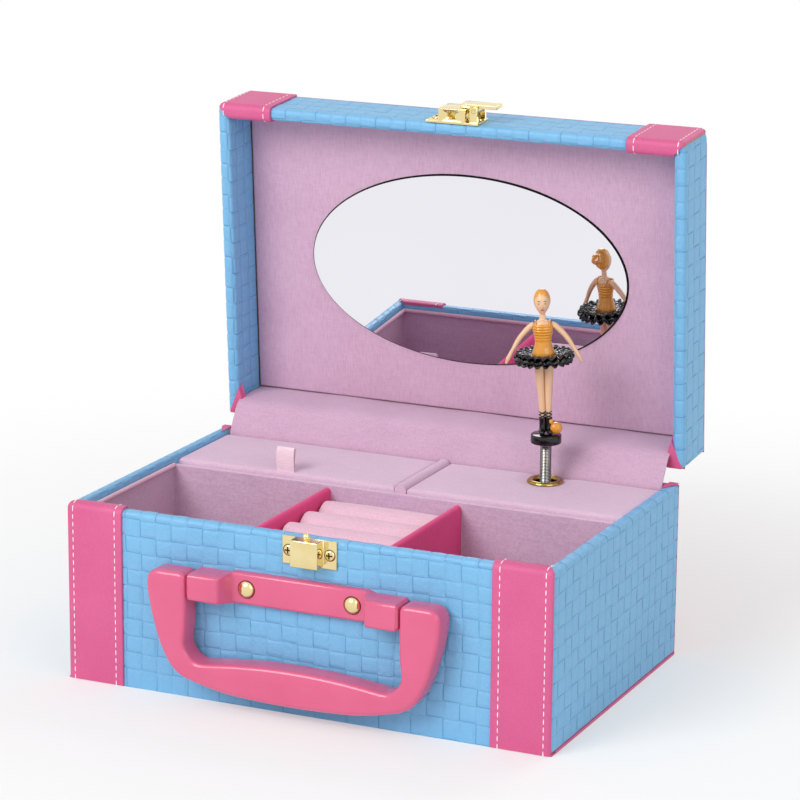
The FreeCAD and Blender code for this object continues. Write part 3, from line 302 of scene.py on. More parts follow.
# %% Metals, plastics and the mirror
def metal(low, high, rough, relief=0.004):
    def build(place):
        lines = place.noise(0.6, 3.0)
        return {"Base Color": place.noise(7.0).tint(low, high), "Roughness": rough + lines * 0.1,
                "Relief": (lines, relief)}
    return build


def plastic(low, high, rough):
    def build(place):
        slow = place.noise(12.0)
        return {"Base Color": slow.tint(low, high), "Roughness": rough + place.noise(4.0) * 0.06,
                "Relief": (slow, 0.12)}
    return build


def lumpy_gloss(place):
    """Black plastic with many small rounded lumps, which break a reflection into points of light."""
    lumps = place.noise(1.5, 1.0)
    return {"Base Color": lumps.tint("#050506", "#0D0D0F"), "Roughness": 0.05 + lumps * 0.06,
            "Relief": (lumps, 1.1)}


def looking_glass(place):
    cloud = place.noise(60.0)
    return {"Base Color": cloud.tint("#E9E8EE", "#EEEDF2"), "Roughness": cloud * 0.008}


METAL, SHINE = {"Metallic": 1.0}, {"Specular_IOR_Level": 0.5}
gold = finish("gold plate", "gold", metal("#E8D28F", "#F4E4B4", 0.06), **METAL)
# A dark copy of the gold for the screw recesses and the foot of the rivets: painted shade.
painted_shade_brass = finish("dark brass painted as shade", "gold", metal("#3A2A12", "#5A4420", 0.3), **METAL)
brass = finish("brass", "brass", metal("#94783F", "#B89A5A", 0.1), **METAL)
steel = finish("spring steel", "steel", metal("#8B8985", "#A9A7A3", 0.16), **METAL)
finish("cast bed", "cast_bed", metal("#8F9092", "#A9AAAC", 0.42, 0.03), **METAL)
handle_pink = finish("handle plastic", "handle_plastic", plastic("#D3557F", "#DB6187", 0.2), Coat_Weight=0.3,
                     Coat_Roughness=0.06)
black = finish("black plastic", "black_plastic", plastic("#08080A", "#101012", 0.08), **SHINE)
frill = finish("moulded frill", "black_plastic", lumpy_gloss, **SHINE)
finish("white acetal", "wheel_plastic", plastic("#DAD8D0", "#E6E4DC", 0.4))
skin = finish("painted skin", "doll_plastic", plastic("#E3B78F", "#EBC39D", 0.32))
orange = finish("painted orange", "doll_plastic", plastic("#DD8E1C", "#E89F30", 0.12), Coat_Weight=0.6,
                Coat_Roughness=0.06)
lip = finish("painted lips", "doll_plastic", plastic("#B4473F", "#C0564C", 0.3))
eye = finish("painted eyes", "doll_plastic", plastic("#3A2A22", "#4A362C", 0.3))
silver = finish("mirror silver", "mirror", looking_glass, **METAL)
ground_edge = finish("ground glass edge", "mirror", plastic("#0B0A0C", "#141215", 0.4), Specular_IOR_Level=0.12)
for name, solid in nodes.items():
    solid.data.materials.clear()
    solid.data.materials.append(by_slot[slot_of[name]])
print(len(by_slot), "finishes on", len(nodes), "solids")

# %% [markdown]
# Most pieces are a grid of points: rows along a path, columns round a section. One function turns such a
# grid into a mesh with an optional UV map; another cleans a mesh, turns its faces outwards and puts it on
# its body. The lid stands open, but is easier to think of closed, so its pieces are made for a shut lid and
# turned about the hinge.

# %% Mesh helpers
hinge = Vector(joints["lid_hinge"]["pos_m"])
open_angle = math.radians(joints["lid_hinge"]["range_deg"][0])
OPEN_LID = Matrix.Translation(hinge) @ Matrix.Rotation(open_angle, 4, "X") @ Matrix.Translation(-hinge)
SHARP = math.radians(40)
SAME_POINT, SAME_CORNER = 1e-7, 1e-6
LONG_EDGE = 1.2 * MM


def metres(point):
    return [value * MM for value in point]


def corner(node):
    """The low and high corner of a solid, in millimetres."""
    return tuple([value / MM for value in end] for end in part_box(node))


def around(count):
    """Equal angles round a full turn."""
    return np.linspace(0, 2 * math.pi, count, endpoint=False)


def arc(x, y, radius, start, end, steps=6):
    turns = [math.radians(start + (end - start) * n / steps) for n in range(steps + 1)]
    return [(x + radius * math.cos(t), y + radius * math.sin(t)) for t in turns]


@contextmanager
def reshaped(mesh):
    """Opens a mesh for editing and writes the result back into it."""
    shell = bmesh.new()
    shell.from_mesh(mesh)
    yield shell
    shell.to_mesh(mesh)
    shell.free()


def merged(mesh):
    """Joins the doubled points of a mesh and turns its faces outwards."""
    with reshaped(mesh) as shell:
        bmesh.ops.remove_doubles(shell, verts=shell.verts, dist=SAME_POINT)
        bmesh.ops.recalc_face_normals(shell, faces=shell.faces)
    return mesh


def written(shell):
    """A new mesh from an edited shell, which it uses up."""
    mesh = bpy.data.meshes.new("piece")
    shell.to_mesh(mesh)
    shell.free()
    return mesh


def joined(parts):
    """One mesh out of several, which it uses up."""
    shell = bmesh.new()
    for part in parts:
        shell.from_mesh(part)
        bpy.data.meshes.remove(part)
    return written(shell)


def settled(made):
    """The plain mesh that an object's modifiers show; the object itself is thrown away."""
    mesh = bpy.data.meshes.new_from_object(made.evaluated_get(bpy.context.evaluated_depsgraph_get()))
    bpy.data.objects.remove(made)
    mesh.materials.clear()
    return mesh


def place_piece(name, mesh, material, body, stands_for="", made_shut=True, sharp=SHARP):
    """Cleans a mesh, gives it a finish, lets it ride on a body and hides the solids it stands for."""
    if body == "lid" and made_shut:
        mesh.transform(OPEN_LID)
    merged(mesh).name = name
    mesh.shade_smooth()
    mesh.set_sharp_from_angle(angle=sharp)
    finishes = material if isinstance(material, list) else [material]
    for each in finishes:
        mesh.materials.append(each)
    made = add_object(name, mesh)
    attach(made, body)
    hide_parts(*stands_for.split())
    print(name, len(mesh.polygons), "faces")
    return made


def grid_mesh(rows, wrap_rows=False, wrap_columns=True, flat=None):
    """A mesh over rows of points in millimetres; flat gives the UV place of each point, in millimetres too."""
    count, width = len(rows), len(rows[0])
    faces, corners = [], []
    for i in range(count if wrap_rows else count - 1):
        for j in range(width if wrap_columns else width - 1):
            ring = [(i, j), (i + 1, j), (i + 1, j + 1), (i, j + 1)]
            faces.append([(p % count) * width + q % width for p, q in ring])
            corners += ring
    if wrap_columns and not wrap_rows:
        for i in (0, count - 1):
            faces.append([i * width + j for j in range(width)])
            corners += [(i, j) for j in range(width)]
    mesh = bpy.data.meshes.new("piece")
    mesh.from_pydata([metres(point) for row in rows for point in row], [], faces)
    if flat is not None:
        layer = mesh.uv_layers.new(name="weave")
        places = [flat[i % count, j % width] * MM for i, j in corners]
        layer.data.foreach_set("uv", np.array(places, np.float32).ravel())
    return mesh


def grid_piece(name, rows, material, body, stands_for="", flat=None):
    return place_piece(name, grid_mesh(rows, flat=flat), material, body, stands_for)


def eased(name, node, width, material, body, segments=3):
    """A copy of a solid with its long sharp edges rounded, standing for it."""
    shell = bmesh.new()
    shell.from_mesh(nodes[node].data)
    bmesh.ops.remove_doubles(shell, verts=shell.verts, dist=SAME_CORNER)
    bmesh.ops.dissolve_limit(shell, angle_limit=math.radians(1), verts=shell.verts, edges=shell.edges)
    sharp = [edge for edge in shell.edges if len(edge.link_faces) == 2 and edge.calc_face_angle() > SHARP
             and edge.calc_length() > LONG_EDGE]
    bmesh.ops.bevel(shell, geom=sharp, offset=width * MM, segments=segments, profile=0.5, affect="EDGES",
                    clamp_overlap=True)
    return place_piece(name, written(shell), material, body, node, made_shut=False)


def lathe(profile, steps, axis="Z", centre=(0, 0, 0)):
    """Rows of points of a turned piece from its radius and height profile."""
    rows = []
    for n in range(steps):
        c, s = math.cos(2 * math.pi * n / steps), math.sin(2 * math.pi * n / steps)
        row = [(r * c, r * s, h) if axis == "Z" else (r * c, h, -r * s) for r, h in profile]
        rows.append([[p + q for p, q in zip(point, centre)] for point in row])
    return rows


def turned(profile, steps=48, axis="Z", centre=(0, 0, 0)):
    return grid_mesh(lathe(profile, steps, axis, centre), wrap_rows=True, wrap_columns=False)


print("lid opens by", round(-math.degrees(open_angle), 2), "degrees")

# %% [markdown]
# The covering of the case goes round three walls: one path in plan, with rounded front corners, and one
# section that climbs the wall, folds over the rim and ends inside. Sweeping the section along the path
# gives the whole skin at once, and the lengths along both are the UV map that the basket pattern needs. The
# stretch that shows is cut into a fine grid, and every point of it sinks to its height in the weave.

# %% Blue covering of the case
SKIN, WALL, STRAP = 0.6, 4.0, 0.8
RIM_ROUND, CASE_CORNER = 1.7, 2.2
GRID, SINK, END_SINK, SIDE_SINK = 0.7, 0.24, 0.8, 0.2
WANDER_ALONG, WANDER_UP = 0.4, 0.35
HEM, FACING, TURN_IN, RIM_IN = 1.2, 0.25, 5.0, 0.9
PROUD = 0.06
(_, front, _), (half, rear, rim) = corner("case_wrap")
STRAP_IN = corner("corner_strap_right")[0][0]


def wall_path(radius, back_y, marks=(-STRAP_IN, STRAP_IN)):
    """Plan points up the left wall, along the front and down the right wall, for any offset outwards."""
    def at(offset):
        r = max(radius + offset, 0.05)
        x, y = half + offset - r, front - offset + r
        return ([(-half - offset, back_y)] + arc(-x, y, r, 180, 270, 8) + [(m, front - offset) for m in marks]
                + arc(x, y, r, 270, 360, 8) + [(half + offset, back_y)])
    return at


def stations(points, counts):
    """Points along a line, with each stretch cut into its count of steps."""
    points = np.array(points)
    made = [p + (q - p) * k / count for p, q, count in zip(points, points[1:], counts) for k in range(count)]
    return np.array(made + [points[-1]])


def cuts(points):
    """How many steps of about one grid width fit into each stretch of a line."""
    return [max(1, round(float(np.linalg.norm(q - p)) / GRID)) for p, q in zip(points, points[1:])]


def run_up(points):
    """Distance along a line of points, from its first."""
    return np.concatenate([[0], np.cumsum(np.linalg.norm(np.diff(points, axis=0), axis=1))])


def smooth_share(values, low, high):
    """0 below low, 1 above high and smooth between."""
    share = np.clip((values - low) / (high - low), 0, 1)
    return share * share * (3 - 2 * share)


def woven(path, section, shown, outward):
    """Rows and UV places of a covering, with the weave pressed into the stretches of section that show."""
    wall, section = np.array(path(0)), np.array(section)
    plan_cuts = cuts(wall)
    line_cuts = [count if shown[0] <= n < shown[1] else 1 for n, count in enumerate(cuts(section))]
    plan, outline = stations(wall, plan_cuts), stations(section, line_cuts)
    away = stations(path(0.2), plan_cuts) - plan
    away /= np.linalg.norm(away, axis=1)[:, None]
    run = np.gradient(outline, axis=0)
    normal = outward * np.stack([-run[:, 1], run[:, 0]], axis=1) / np.linalg.norm(run, axis=1)[:, None]
    u, v = run_up(plan)[:, None], run_up(outline)[None, :]
    flat = np.stack([u + WANDER_ALONG * np.sin(0.11 * v + 0.05 * u), v + WANDER_UP * np.sin(0.09 * u)], axis=2)
    cell = flat / (CELL / MM)
    upright = np.floor(cell).sum(axis=2) % 2 == 1
    across, upward = np.moveaxis(np.abs(cell % 1 - 0.5) * 2, 2, 0)
    along, side = np.where(upright, upward, across), np.where(upright, across, upward)
    low = END_SINK * smooth_share(along, 0.5, 1.0) + SIDE_SINK * smooth_share(side, 0.85, 1.0)
    first, last = sum(line_cuts[:shown[0]]), sum(line_cuts[:shown[1]])
    order = np.arange(len(outline))
    low *= smooth_share(np.minimum(order - first, last - order), 0, 2)[None, :]
    plans = np.stack([stations(path(offset), plan_cuts) for offset in outline[:, 0]], axis=1)
    plans -= away[:, None, :] * (SINK * low * normal[:, 0])[:, :, None]
    heights = outline[:, 1] - SINK * low * normal[:, 1]
    return np.concatenate([plans, heights[:, :, None]], axis=2), flat


case_section = ([(-0.4, HEM), (-0.1, HEM + 0.15), (0, HEM + 0.5), (0, rim - RIM_ROUND)]
                + arc(-RIM_ROUND, rim - RIM_ROUND, RIM_ROUND, 0, 90)[1:]
                + arc(-WALL - FACING + RIM_IN, rim - RIM_IN, RIM_IN, 90, 180, 4)
                + [(-WALL - FACING, rim - TURN_IN), (-WALL, rim - TURN_IN), (-WALL, rim - SKIN),
                   (-SKIN, rim - SKIN), (-SKIN, HEM)])
CASE_SHOWN = (2, 14)  # the stretches from above the hem to the inner edge of the rim
case_rows, case_flat = woven(wall_path(CASE_CORNER, rear), case_section, CASE_SHOWN, -1)
for row in case_rows:
    if abs(row[0][0]) <= STRAP_IN + 0.01:  # between the straps the hem reaches the floor
        row[:3, 1] = front - PROUD
        row[:3, 2] = 0.0, 0.3, 0.7
grid_piece("case_covering", case_rows, blue_leather, "case", "case_wrap", flat=case_flat)

# %% [markdown]
# The pink of the base is turned up round the lower edge of the two sides, a welt about a millimetre high.
# It is a thin rounded strip along each side wall, just under the hem of the blue.

# %% Base welt
WELT, WELT_START = 1.1, 3.0
welt_section = [(0, 0.05), (0.12, 0.1), (0.2, 0.5), (0.12, WELT - 0.1), (-0.2, WELT), (-SKIN, WELT), (-SKIN, 0.05)]
for way, side in zip(BOTH, ("left", "right")):
    rows = [[(way * (half + x), y, z) for x, z in welt_section] for y in (front + WELT_START, rear)]
    grid_piece("base_welt_" + side, rows, pink_leather, "case")

# %% [markdown]
# The lid is covered in the same way, but its rim points down when it is shut, and the blue also lines the
# inside of its walls down to the padded panel.

# %% Blue covering of the lid
UNDER_HINGE, LINER_DEEP, LID_TALL = 0.2, 17.5, 22.1
LID_BACK, LID_CORNER = 61.2, 3.0
INNER = WALL + SKIN
lid_rim = hinge.z / MM - UNDER_HINGE
liner_face, lid_top = lid_rim + LINER_DEEP, lid_rim + LID_TALL
lid_bend = lid_rim + RIM_ROUND
lid_section = ([(0, lid_top - SKIN), (0, lid_bend)] + arc(-RIM_ROUND, lid_bend, RIM_ROUND, 0, -90)[1:]
               + arc(RIM_ROUND - INNER, lid_bend, RIM_ROUND, -90, -180)
               + [(-INNER, liner_face), (-WALL, liner_face), (-WALL, lid_rim + SKIN), (-SKIN, lid_rim + SKIN),
                  (-SKIN, lid_top - SKIN)])
LID_SHOWN = (0, 15)  # the stretches from the top, round the rim and up to the liner
lid_rows, lid_flat = woven(wall_path(LID_CORNER, LID_BACK - SKIN), lid_section, LID_SHOWN, 1)
grid_piece("lid_covering", lid_rows, blue_leather, "lid", "lid_wrap", flat=lid_flat)

# %% [markdown]
# Pink straps hide the front corners of case and lid. They follow the same path as the covering, one strap
# thickness further out, and thin out at their cut edges, where the real leatherette is turned under.

# %% Pink corner straps
EDGE, EDGE_THIN = 0.25, 0.25
STRAP_MARKS = (-STRAP_IN - EDGE, -STRAP_IN, STRAP_IN, STRAP_IN + EDGE)
STRAP_STATIONS = {"left": range(5, 12), "right": range(12, 19)}  # points of the path round each corner


def case_strap_section(thick):
    bend = rim - RIM_ROUND
    outer = ([(thick - 0.6, 0.02), (thick - 0.15, 0.25), (thick, 0.9), (thick, bend)]
             + arc(-RIM_ROUND, bend, RIM_ROUND + thick, 0, 90)[1:]
             + [(0.2 - WALL, rim + thick), (-WALL - 0.3, rim + thick - 0.3), (-WALL - 0.4, rim - 0.6)])
    return outer + [(-WALL, rim - 0.6), (-WALL, rim)] + arc(-RIM_ROUND, bend, RIM_ROUND, 90, 0) + [(0, 0.9)]


def lid_strap_section(thick):
    outer = ([(thick, lid_top), (thick, lid_bend)] + arc(-RIM_ROUND, lid_bend, RIM_ROUND + thick, 0, -90)[1:]
             + arc(RIM_ROUND - INNER, lid_bend, RIM_ROUND + thick, -90, -180) + [(-INNER - thick, lid_bend + 2)])
    return (outer + [(-INNER, lid_bend + 2)] + arc(RIM_ROUND - INNER, lid_bend, RIM_ROUND, -180, -90)
            + arc(-RIM_ROUND, lid_bend, RIM_ROUND, -90, 0) + [(0, lid_top)])


def strap(name, path, section_at, picks, body, stands_for):
    """A strap along the picked stations of a path; its first and last row are thin."""
    rows = []
    for pick in picks:
        thick = STRAP - EDGE_THIN if pick in (picks[0], picks[-1]) else STRAP
        rows.append([path(offset)[pick] + (height,) for offset, height in section_at(thick)])
    grid_piece(name, rows, pink_leather, body, stands_for)


for side, picks in STRAP_STATIONS.items():
    for node, path, section_at, body in (
            ("corner_strap_", wall_path(CASE_CORNER, rear, STRAP_MARKS), case_strap_section, "case"),
            ("lid_strap_", wall_path(LID_CORNER, LID_BACK, STRAP_MARKS), lid_strap_section, "lid")):
        strap(node + side + "_leather", path, section_at, picks, body, node + side)

# %% [markdown]
# White stitches run along both edges of each strap. Hundreds of small equal things on a line are a job for
# Geometry Nodes: the line is resampled at the stitch pitch, a little spindle is set on every point along
# the line, and the instances are made real.

# %% Stitches
STITCH_IN, STITCH_OUT, STITCH_SINK = 2.8, 89.7, 0.1
STITCH = {"Pitch": 2.75 * MM, "Stitch": (0.24 * MM, 0.24 * MM, 1.1 * MM)}


def node_group(name, inputs):
    """An empty Geometry Nodes tree with named inputs; returns the tree and a wire for each input."""
    tree = bpy.data.node_groups.new(name, "GeometryNodeTree")
    tree.interface.new_socket("Geometry", in_out="INPUT", socket_type="NodeSocketGeometry")
    for label, kind in inputs.items():
        tree.interface.new_socket(label, in_out="INPUT", socket_type=kind)
    tree.interface.new_socket("Geometry", in_out="OUTPUT", socket_type="NodeSocketGeometry")
    entry = tree.nodes.new("NodeGroupInput")
    return tree, {socket.name: Wire(tree, socket) for socket in entry.outputs if socket.name}


def close_group(instances, material):
    """Ends a tree in real geometry with one finish."""
    real = instances.node("GeometryNodeRealizeInstances", None, {0: instances})
    painted = real.node("GeometryNodeSetMaterial", None, {"Geometry": real, "Material": material})
    end = painted.tree.nodes.new("NodeGroupOutput")
    painted.tree.links.new(painted.socket, end.inputs[0])


def grown(points, edges, tree, values):
    """The plain mesh that a tree makes from some points and edges."""
    seed = bpy.data.meshes.new("seed")
    seed.from_pydata([metres(point) for point in points], edges, [])
    holder = add_object("seed", seed)
    modifier = holder.modifiers.new("grow", "NODES")
    modifier.node_group = tree
    for item in tree.interface.items_tree:
        if item.in_out == "INPUT" and item.name in values:
            modifier[item.identifier] = values[item.name]
    return settled(holder)


stitching, wires = node_group("stitch run", {"Pitch": "NodeSocketFloat", "Stitch": "NodeSocketVector"})
seam_and_step_shade = wires["Geometry"].node("GeometryNodeMeshToCurve", None, {"Mesh": wires["Geometry"]})
spots = seam_and_step_shade.node("GeometryNodeCurveToPoints", {"mode": "LENGTH"}, {"Curve": seam_and_step_shade, "Length": wires["Pitch"]})
turns = Wire(stitching, spots.socket.node.outputs["Rotation"])
spindle = spots.node("GeometryNodeMeshUVSphere", None, {"Segments": 6, "Rings": 5, "Radius": 1.0})
close_group(spots.node("GeometryNodeInstanceOnPoints", None, {
    "Points": spots, "Instance": spindle, "Rotation": turns, "Scale": wires["Stitch"]}), thread)


def stitches(body, section):
    """Four lines of stitches along a stretch of a strap section."""
    points, edges = [], []
    for mark in (-STITCH_OUT, -STRAP_IN - STITCH_IN, STRAP_IN + STITCH_IN, STITCH_OUT):
        edges += [(len(points) + k, len(points) + k + 1) for k in range(len(section) - 1)]
        points += [(mark, front - offset, height) for offset, height in section]
    name = body + "_stitches"
    place_piece(name, grown(points, edges, stitching, STITCH), thread, body)


stitches("case", case_strap_section(STRAP - STITCH_SINK)[2:11])
stitches("lid", lid_strap_section(STRAP - STITCH_SINK)[:16])

# %% [markdown]
# The two halves of the snap latch and its release lever are plated gold. Their solids are right, only too
# sharp, so copies of them get small rounded edges. The screws have low domed heads with a cross recess:
# one screw is made with a Boolean, and a tree sets it on its places. A second shape, a dark cross and ring,
# is set on the same points as painted shade in the bottom of each recess and round the foot of each head.

# %% Latch and its screws
for name, node, width, body in (("latch_keeper", "keeper_plate", 0.3, "case"),
                                ("latch_catch", "catch_plate", 0.3, "lid"),
                                ("latch_lever", "catch_lever", 0.4, "lever")):
    eased(name, node, width, gold, body)

scatter, wires = node_group("set on points", {"Fitting": "NodeSocketObject", "Finish": "NodeSocketMaterial"})
model = wires["Geometry"].node("GeometryNodeObjectInfo", None, {"Object": wires["Fitting"]}, out="Geometry")
close_group(model.node("GeometryNodeInstanceOnPoints", None, {
    "Points": wires["Geometry"], "Instance": model}), wires["Finish"])


def set_on(name, fitting, points, material, body, stands_for=""):
    """Copies of a small mesh on some points, as one piece."""
    holder = add_object("fitting", fitting)
    mesh = grown(points, [], scatter, {"Fitting": holder, "Finish": material})
    bpy.data.objects.remove(holder)
    place_piece(name, mesh, material, body, stands_for)


def cross_mesh(length, width, deep, at):
    """Two crossed bars in the XZ plane."""
    shell = bmesh.new()
    for size in ((length, deep, width), (width, deep, length)):
        made = bmesh.ops.create_cube(shell, size=1.0)["verts"]
        bmesh.ops.scale(shell, vec=metres(size), verts=made)
        bmesh.ops.translate(shell, vec=(0, at * MM, 0), verts=made)
    return written(shell)


def carved(mesh, tool_mesh, use_self=False):
    """A mesh with another one cut out of it."""
    block, tool = add_object("block", merged(mesh)), add_object("tool", tool_mesh)
    modifier = block.modifiers.new("cut", "BOOLEAN")
    modifier.use_self = use_self
    modifier.object = tool
    mesh = settled(block)
    bpy.data.objects.remove(tool)
    return mesh


SCREW_RADIUS, SCREW_RISE, RECESS, FACETS = 1.9, 0.8, 0.45, 28
LATCH_PLATE, SCREW_APART, CATCH_SCREW_UP = 0.8, 7.8, 5.2
screw_profile = [(0, -SCREW_RISE), (0.9, -SCREW_RISE + 0.06), (1.5, -0.5), (1.8, -0.25), (SCREW_RADIUS, 0.0),
                 (0, 0.0)]
ring_profile = [(1.85, -0.08), (2.1, -0.06), (2.12, 0.0), (1.85, 0.0), (1.85, -0.08)]
screw = carved(turned(screw_profile, FACETS, "Y"), cross_mesh(2.5, 0.6, 2 * RECESS, -SCREW_RISE), True)
# The dark cross and ring: painted shade in the bottom of each recess and round the foot of each head.
recess = joined([cross_mesh(2.4, 0.52, 0.1, RECESS - SCREW_RISE - 0.06),
                 turned(ring_profile, FACETS, "Y")])
keeper_low, keeper_high = corner("keeper_plate")
latch_mid = (keeper_low[0] + keeper_high[0]) / 2
for part, height, body in (("keeper_screw", corner("keeper_screws")[0][2] + SCREW_RADIUS, "case"),
                           ("catch_screw", lid_rim + CATCH_SCREW_UP, "lid")):
    spots = [(latch_mid + way * SCREW_APART, front - LATCH_PLATE, height) for way in BOTH]
    set_on(part + "_heads", screw, spots, gold, body, part + "s")
    set_on(part + "_recesses", recess, spots, painted_shade_brass, body)

# %% [markdown]
# The handle is one glossy moulding, flat in front with well rounded edges, and its grip swells towards the
# middle. That is an outline with a bevel, so it is drawn as a flat curve: the corners of the outline are
# rounded in code, and the curve's own bevel gives the moulded edge.

# %% Handle
KNUCKLE, ARM_END, BEVEL = 4.8, 40.5, 1.8
PIN_RADIUS, PIN_LONG, PIN_X = 2.2, 8.5, 37.8


def rounded_outline(corners, steps=7):
    """A closed outline whose corners (x, z, radius) are replaced by curves."""
    points = []
    for n, (x, z, radius) in enumerate(corners):
        here = Vector((x, z))
        before, after = (Vector(corners[(n + k) % len(corners)][:2]) - here for k in BOTH)
        reach = min(radius, before.length * 0.49, after.length * 0.49)
        start, end = here + before.normalized() * reach, here + after.normalized() * reach
        points += [start * (1 - t) ** 2 + here * 2 * t * (1 - t) + end * t ** 2
                   for t in (k / steps for k in range(steps + 1))]
    return points


def mirrored(corners):
    return [(-x, z, radius) for x, z, radius in corners]


pivot = [value / MM for value in joints["handle_swing"]["pos_m"]]
knuckle_top, knuckle_foot = pivot[2] + KNUCKLE, pivot[2] - KNUCKLE
outside = [(ARM_END, knuckle_top, 2.8), (56.0, knuckle_top, 11.0), (55.2, 37.0, 14), (50.8, 21.0, 16),
           (45.0, 11.2, 14), (27.0, 6.6, 18), (0, 5.4, 18)]
inside = [(ARM_END, 30.0, 10), (41.6, 21.0, 8), (37.0, 16.2, 8), (19.0, 18.4, 14), (0, 19.2, 14)]
outline = rounded_outline(outside + mirrored(outside[-2::-1]) + mirrored(inside[:-1]) + inside[::-1])
(_, grip_low, _), (_, grip_high, _) = corner("handle")
shape = bpy.data.curves.new("handle_outline", "CURVE")
shape.dimensions = "2D"
shape.fill_mode = "BOTH"
shape.extrude = ((grip_high - grip_low) / 2 - BEVEL) * MM
shape.bevel_depth = BEVEL * MM
shape.bevel_resolution = 6
shape.offset = -BEVEL * MM
spline = shape.splines.new("POLY")
spline.points.add(len(outline) - 1)
for spot, point in zip(spline.points, outline):
    spot.co = (point.x * MM, point.y * MM, 0, 1)
spline.use_cyclic_u = True
grip = settled(add_object("handle_outline", shape))
grip.transform(Matrix.Translation((0, (grip_low + grip_high) / 2 * MM, 0)) @ Matrix.Rotation(math.pi / 2, 4, "X"))
with reshaped(grip) as shell:
    for way in BOTH:
        pin = bmesh.ops.create_cone(shell, cap_ends=True, segments=24, radius1=PIN_RADIUS * MM,
                                    radius2=PIN_RADIUS * MM, depth=PIN_LONG * MM)["verts"]
        bmesh.ops.rotate(shell, matrix=Matrix.Rotation(math.pi / 2, 3, "Y"), verts=pin)
        bmesh.ops.translate(shell, vec=metres((way * PIN_X, pivot[1], pivot[2])), verts=pin)
place_piece("carry_handle", grip, handle_pink, "handle", "handle")

# %% [markdown]
# The bracket is the other half of that moulding: a plate with a thick block at each end, in which the pins of
# the handle turn. Seen from above, its front runs flat, swings out in a soft curve and runs flat again, so a
# rounded section is swept from left to right and only its depth changes.

# %% Handle bracket
BLOCK_START, BLOCK_FULL = 24.5, 28.5
MOUNT_PLATE, MOUNT_ROUND, END_EASE = 3.0, 1.3, 0.8
bracket_low, bracket_high = corner("handle_bracket")


def bracket_section(x):
    """A rounded section of the bracket at x, as points."""
    share = smooth_share(abs(x), BLOCK_START, BLOCK_FULL)
    shrink = END_EASE - min(END_EASE, bracket_high[0] - abs(x))
    face = front - MOUNT_PLATE + (bracket_low[1] - front + MOUNT_PLATE) * share + shrink
    low_z = bracket_low[2] + (knuckle_foot - bracket_low[2]) * share + shrink
    high_z = bracket_high[2] + (knuckle_top - bracket_high[2]) * share - shrink
    r = MOUNT_ROUND
    return [(x, y, z) for y, z in [(front, low_z)] + arc(face + r, low_z + r, r, 270, 180, 5)
            + arc(face + r, high_z - r, r, 180, 90, 5) + [(front, high_z)]]


half_mount = [*np.linspace(BLOCK_START, BLOCK_FULL, 9)] + [bracket_high[0] - inset for inset in (END_EASE, 0.25, 0)]
mount_rows = [bracket_section(x) for x in [-x for x in half_mount[::-1]] + half_mount]
grid_piece("handle_mount", mount_rows, handle_pink, "case", "handle_bracket")

# %% [markdown]
# Two dome rivets hold the bracket. A dome is a quarter circle turned about its axis, and the same tree that
# set the screws sets the rivets, and a thin dark ring round the foot of each dome as painted shade.

# %% Rivets
DOME_WIDE, DOME_TALL, RIVET_X = 3.0, 1.7, 20.1
dome = [(DOME_WIDE * math.cos(math.radians(a)), -DOME_TALL * math.sin(math.radians(a))) for a in range(90, -1, -15)]
dome_foot_shade = [(2.8, -0.12), (3.2, -0.1), (3.3, 0.0), (2.8, 0.0), (2.8, -0.12)]
spots = [(way * RIVET_X, front - MOUNT_PLATE, pivot[2]) for way in BOTH]
set_on("dome_rivets", turned(dome + [(1.2, 0.0), (0.0, 0.0)], FACETS, "Y"), spots, gold, "case",
       "handle_rivets")
# A thin dark ring at the foot of each dome: painted shade.
set_on("rivet_rings", turned(dome_foot_shade, FACETS, "Y"), spots, painted_shade_brass, "case")

# %% [markdown]
# The tray is lined with flock. The lining is one open box: a section that runs up the wall and rolls over at
# the top, taken round the four sides, plus the floor. The compartment behind the tray has the same lining up
# to the cleats on which its lid rests. The cross wall between the two and the strip between the decks end in
# a soft rolled edge, and the dividers are magenta boards with rounded tops.

# %% Tray
LINING, LINING_DROP, TRAY_CORNER = 0.6, 0.5, 1.2
tray_low, tray_high = corner("tray_lining")
floor_z, cleat_foot = tray_low[2], corner("deck_cleats")[0][2]


def boxed(name, low, high, section, stands_for=""):
    """A flock lining: a section of insets and heights, taken round a rectangle with rounded corners."""
    rings = []
    for inset, height in section:
        r = max(TRAY_CORNER - inset, 0.3)
        x0, y0, x1, y1 = low[0] + inset + r, low[1] + inset + r, high[0] - inset - r, high[1] - inset - r
        turns = ((x1, y0, -90), (x1, y1, 0), (x0, y1, 90), (x0, y0, 180))
        rings.append([p + (height,) for x, y, start in turns for p in arc(x, y, r, start, start + 90, 4)])
    grid_piece(name, rings, shaded_flock, "case", stands_for)


def bar(name, node, crown, material):
    """A board along the longer side of a solid, with a round soft top that rises by crown."""
    low, high = corner(node)
    along = 0 if high[0] - low[0] > high[1] - low[1] else 1
    side = 1 - along
    middle, thick = (low[side] + high[side]) / 2, (high[side] - low[side]) / 2
    outline = [(thick, low[2])] + arc(0, high[2] + crown - thick, thick, 0, 180, 8) + [(-thick, low[2])]
    rows = [[(end, middle + x, z) if side else (middle + x, end, z) for x, z in outline]
            for end in (low[along], high[along])]
    grid_piece(name, rows, material, "case", node)


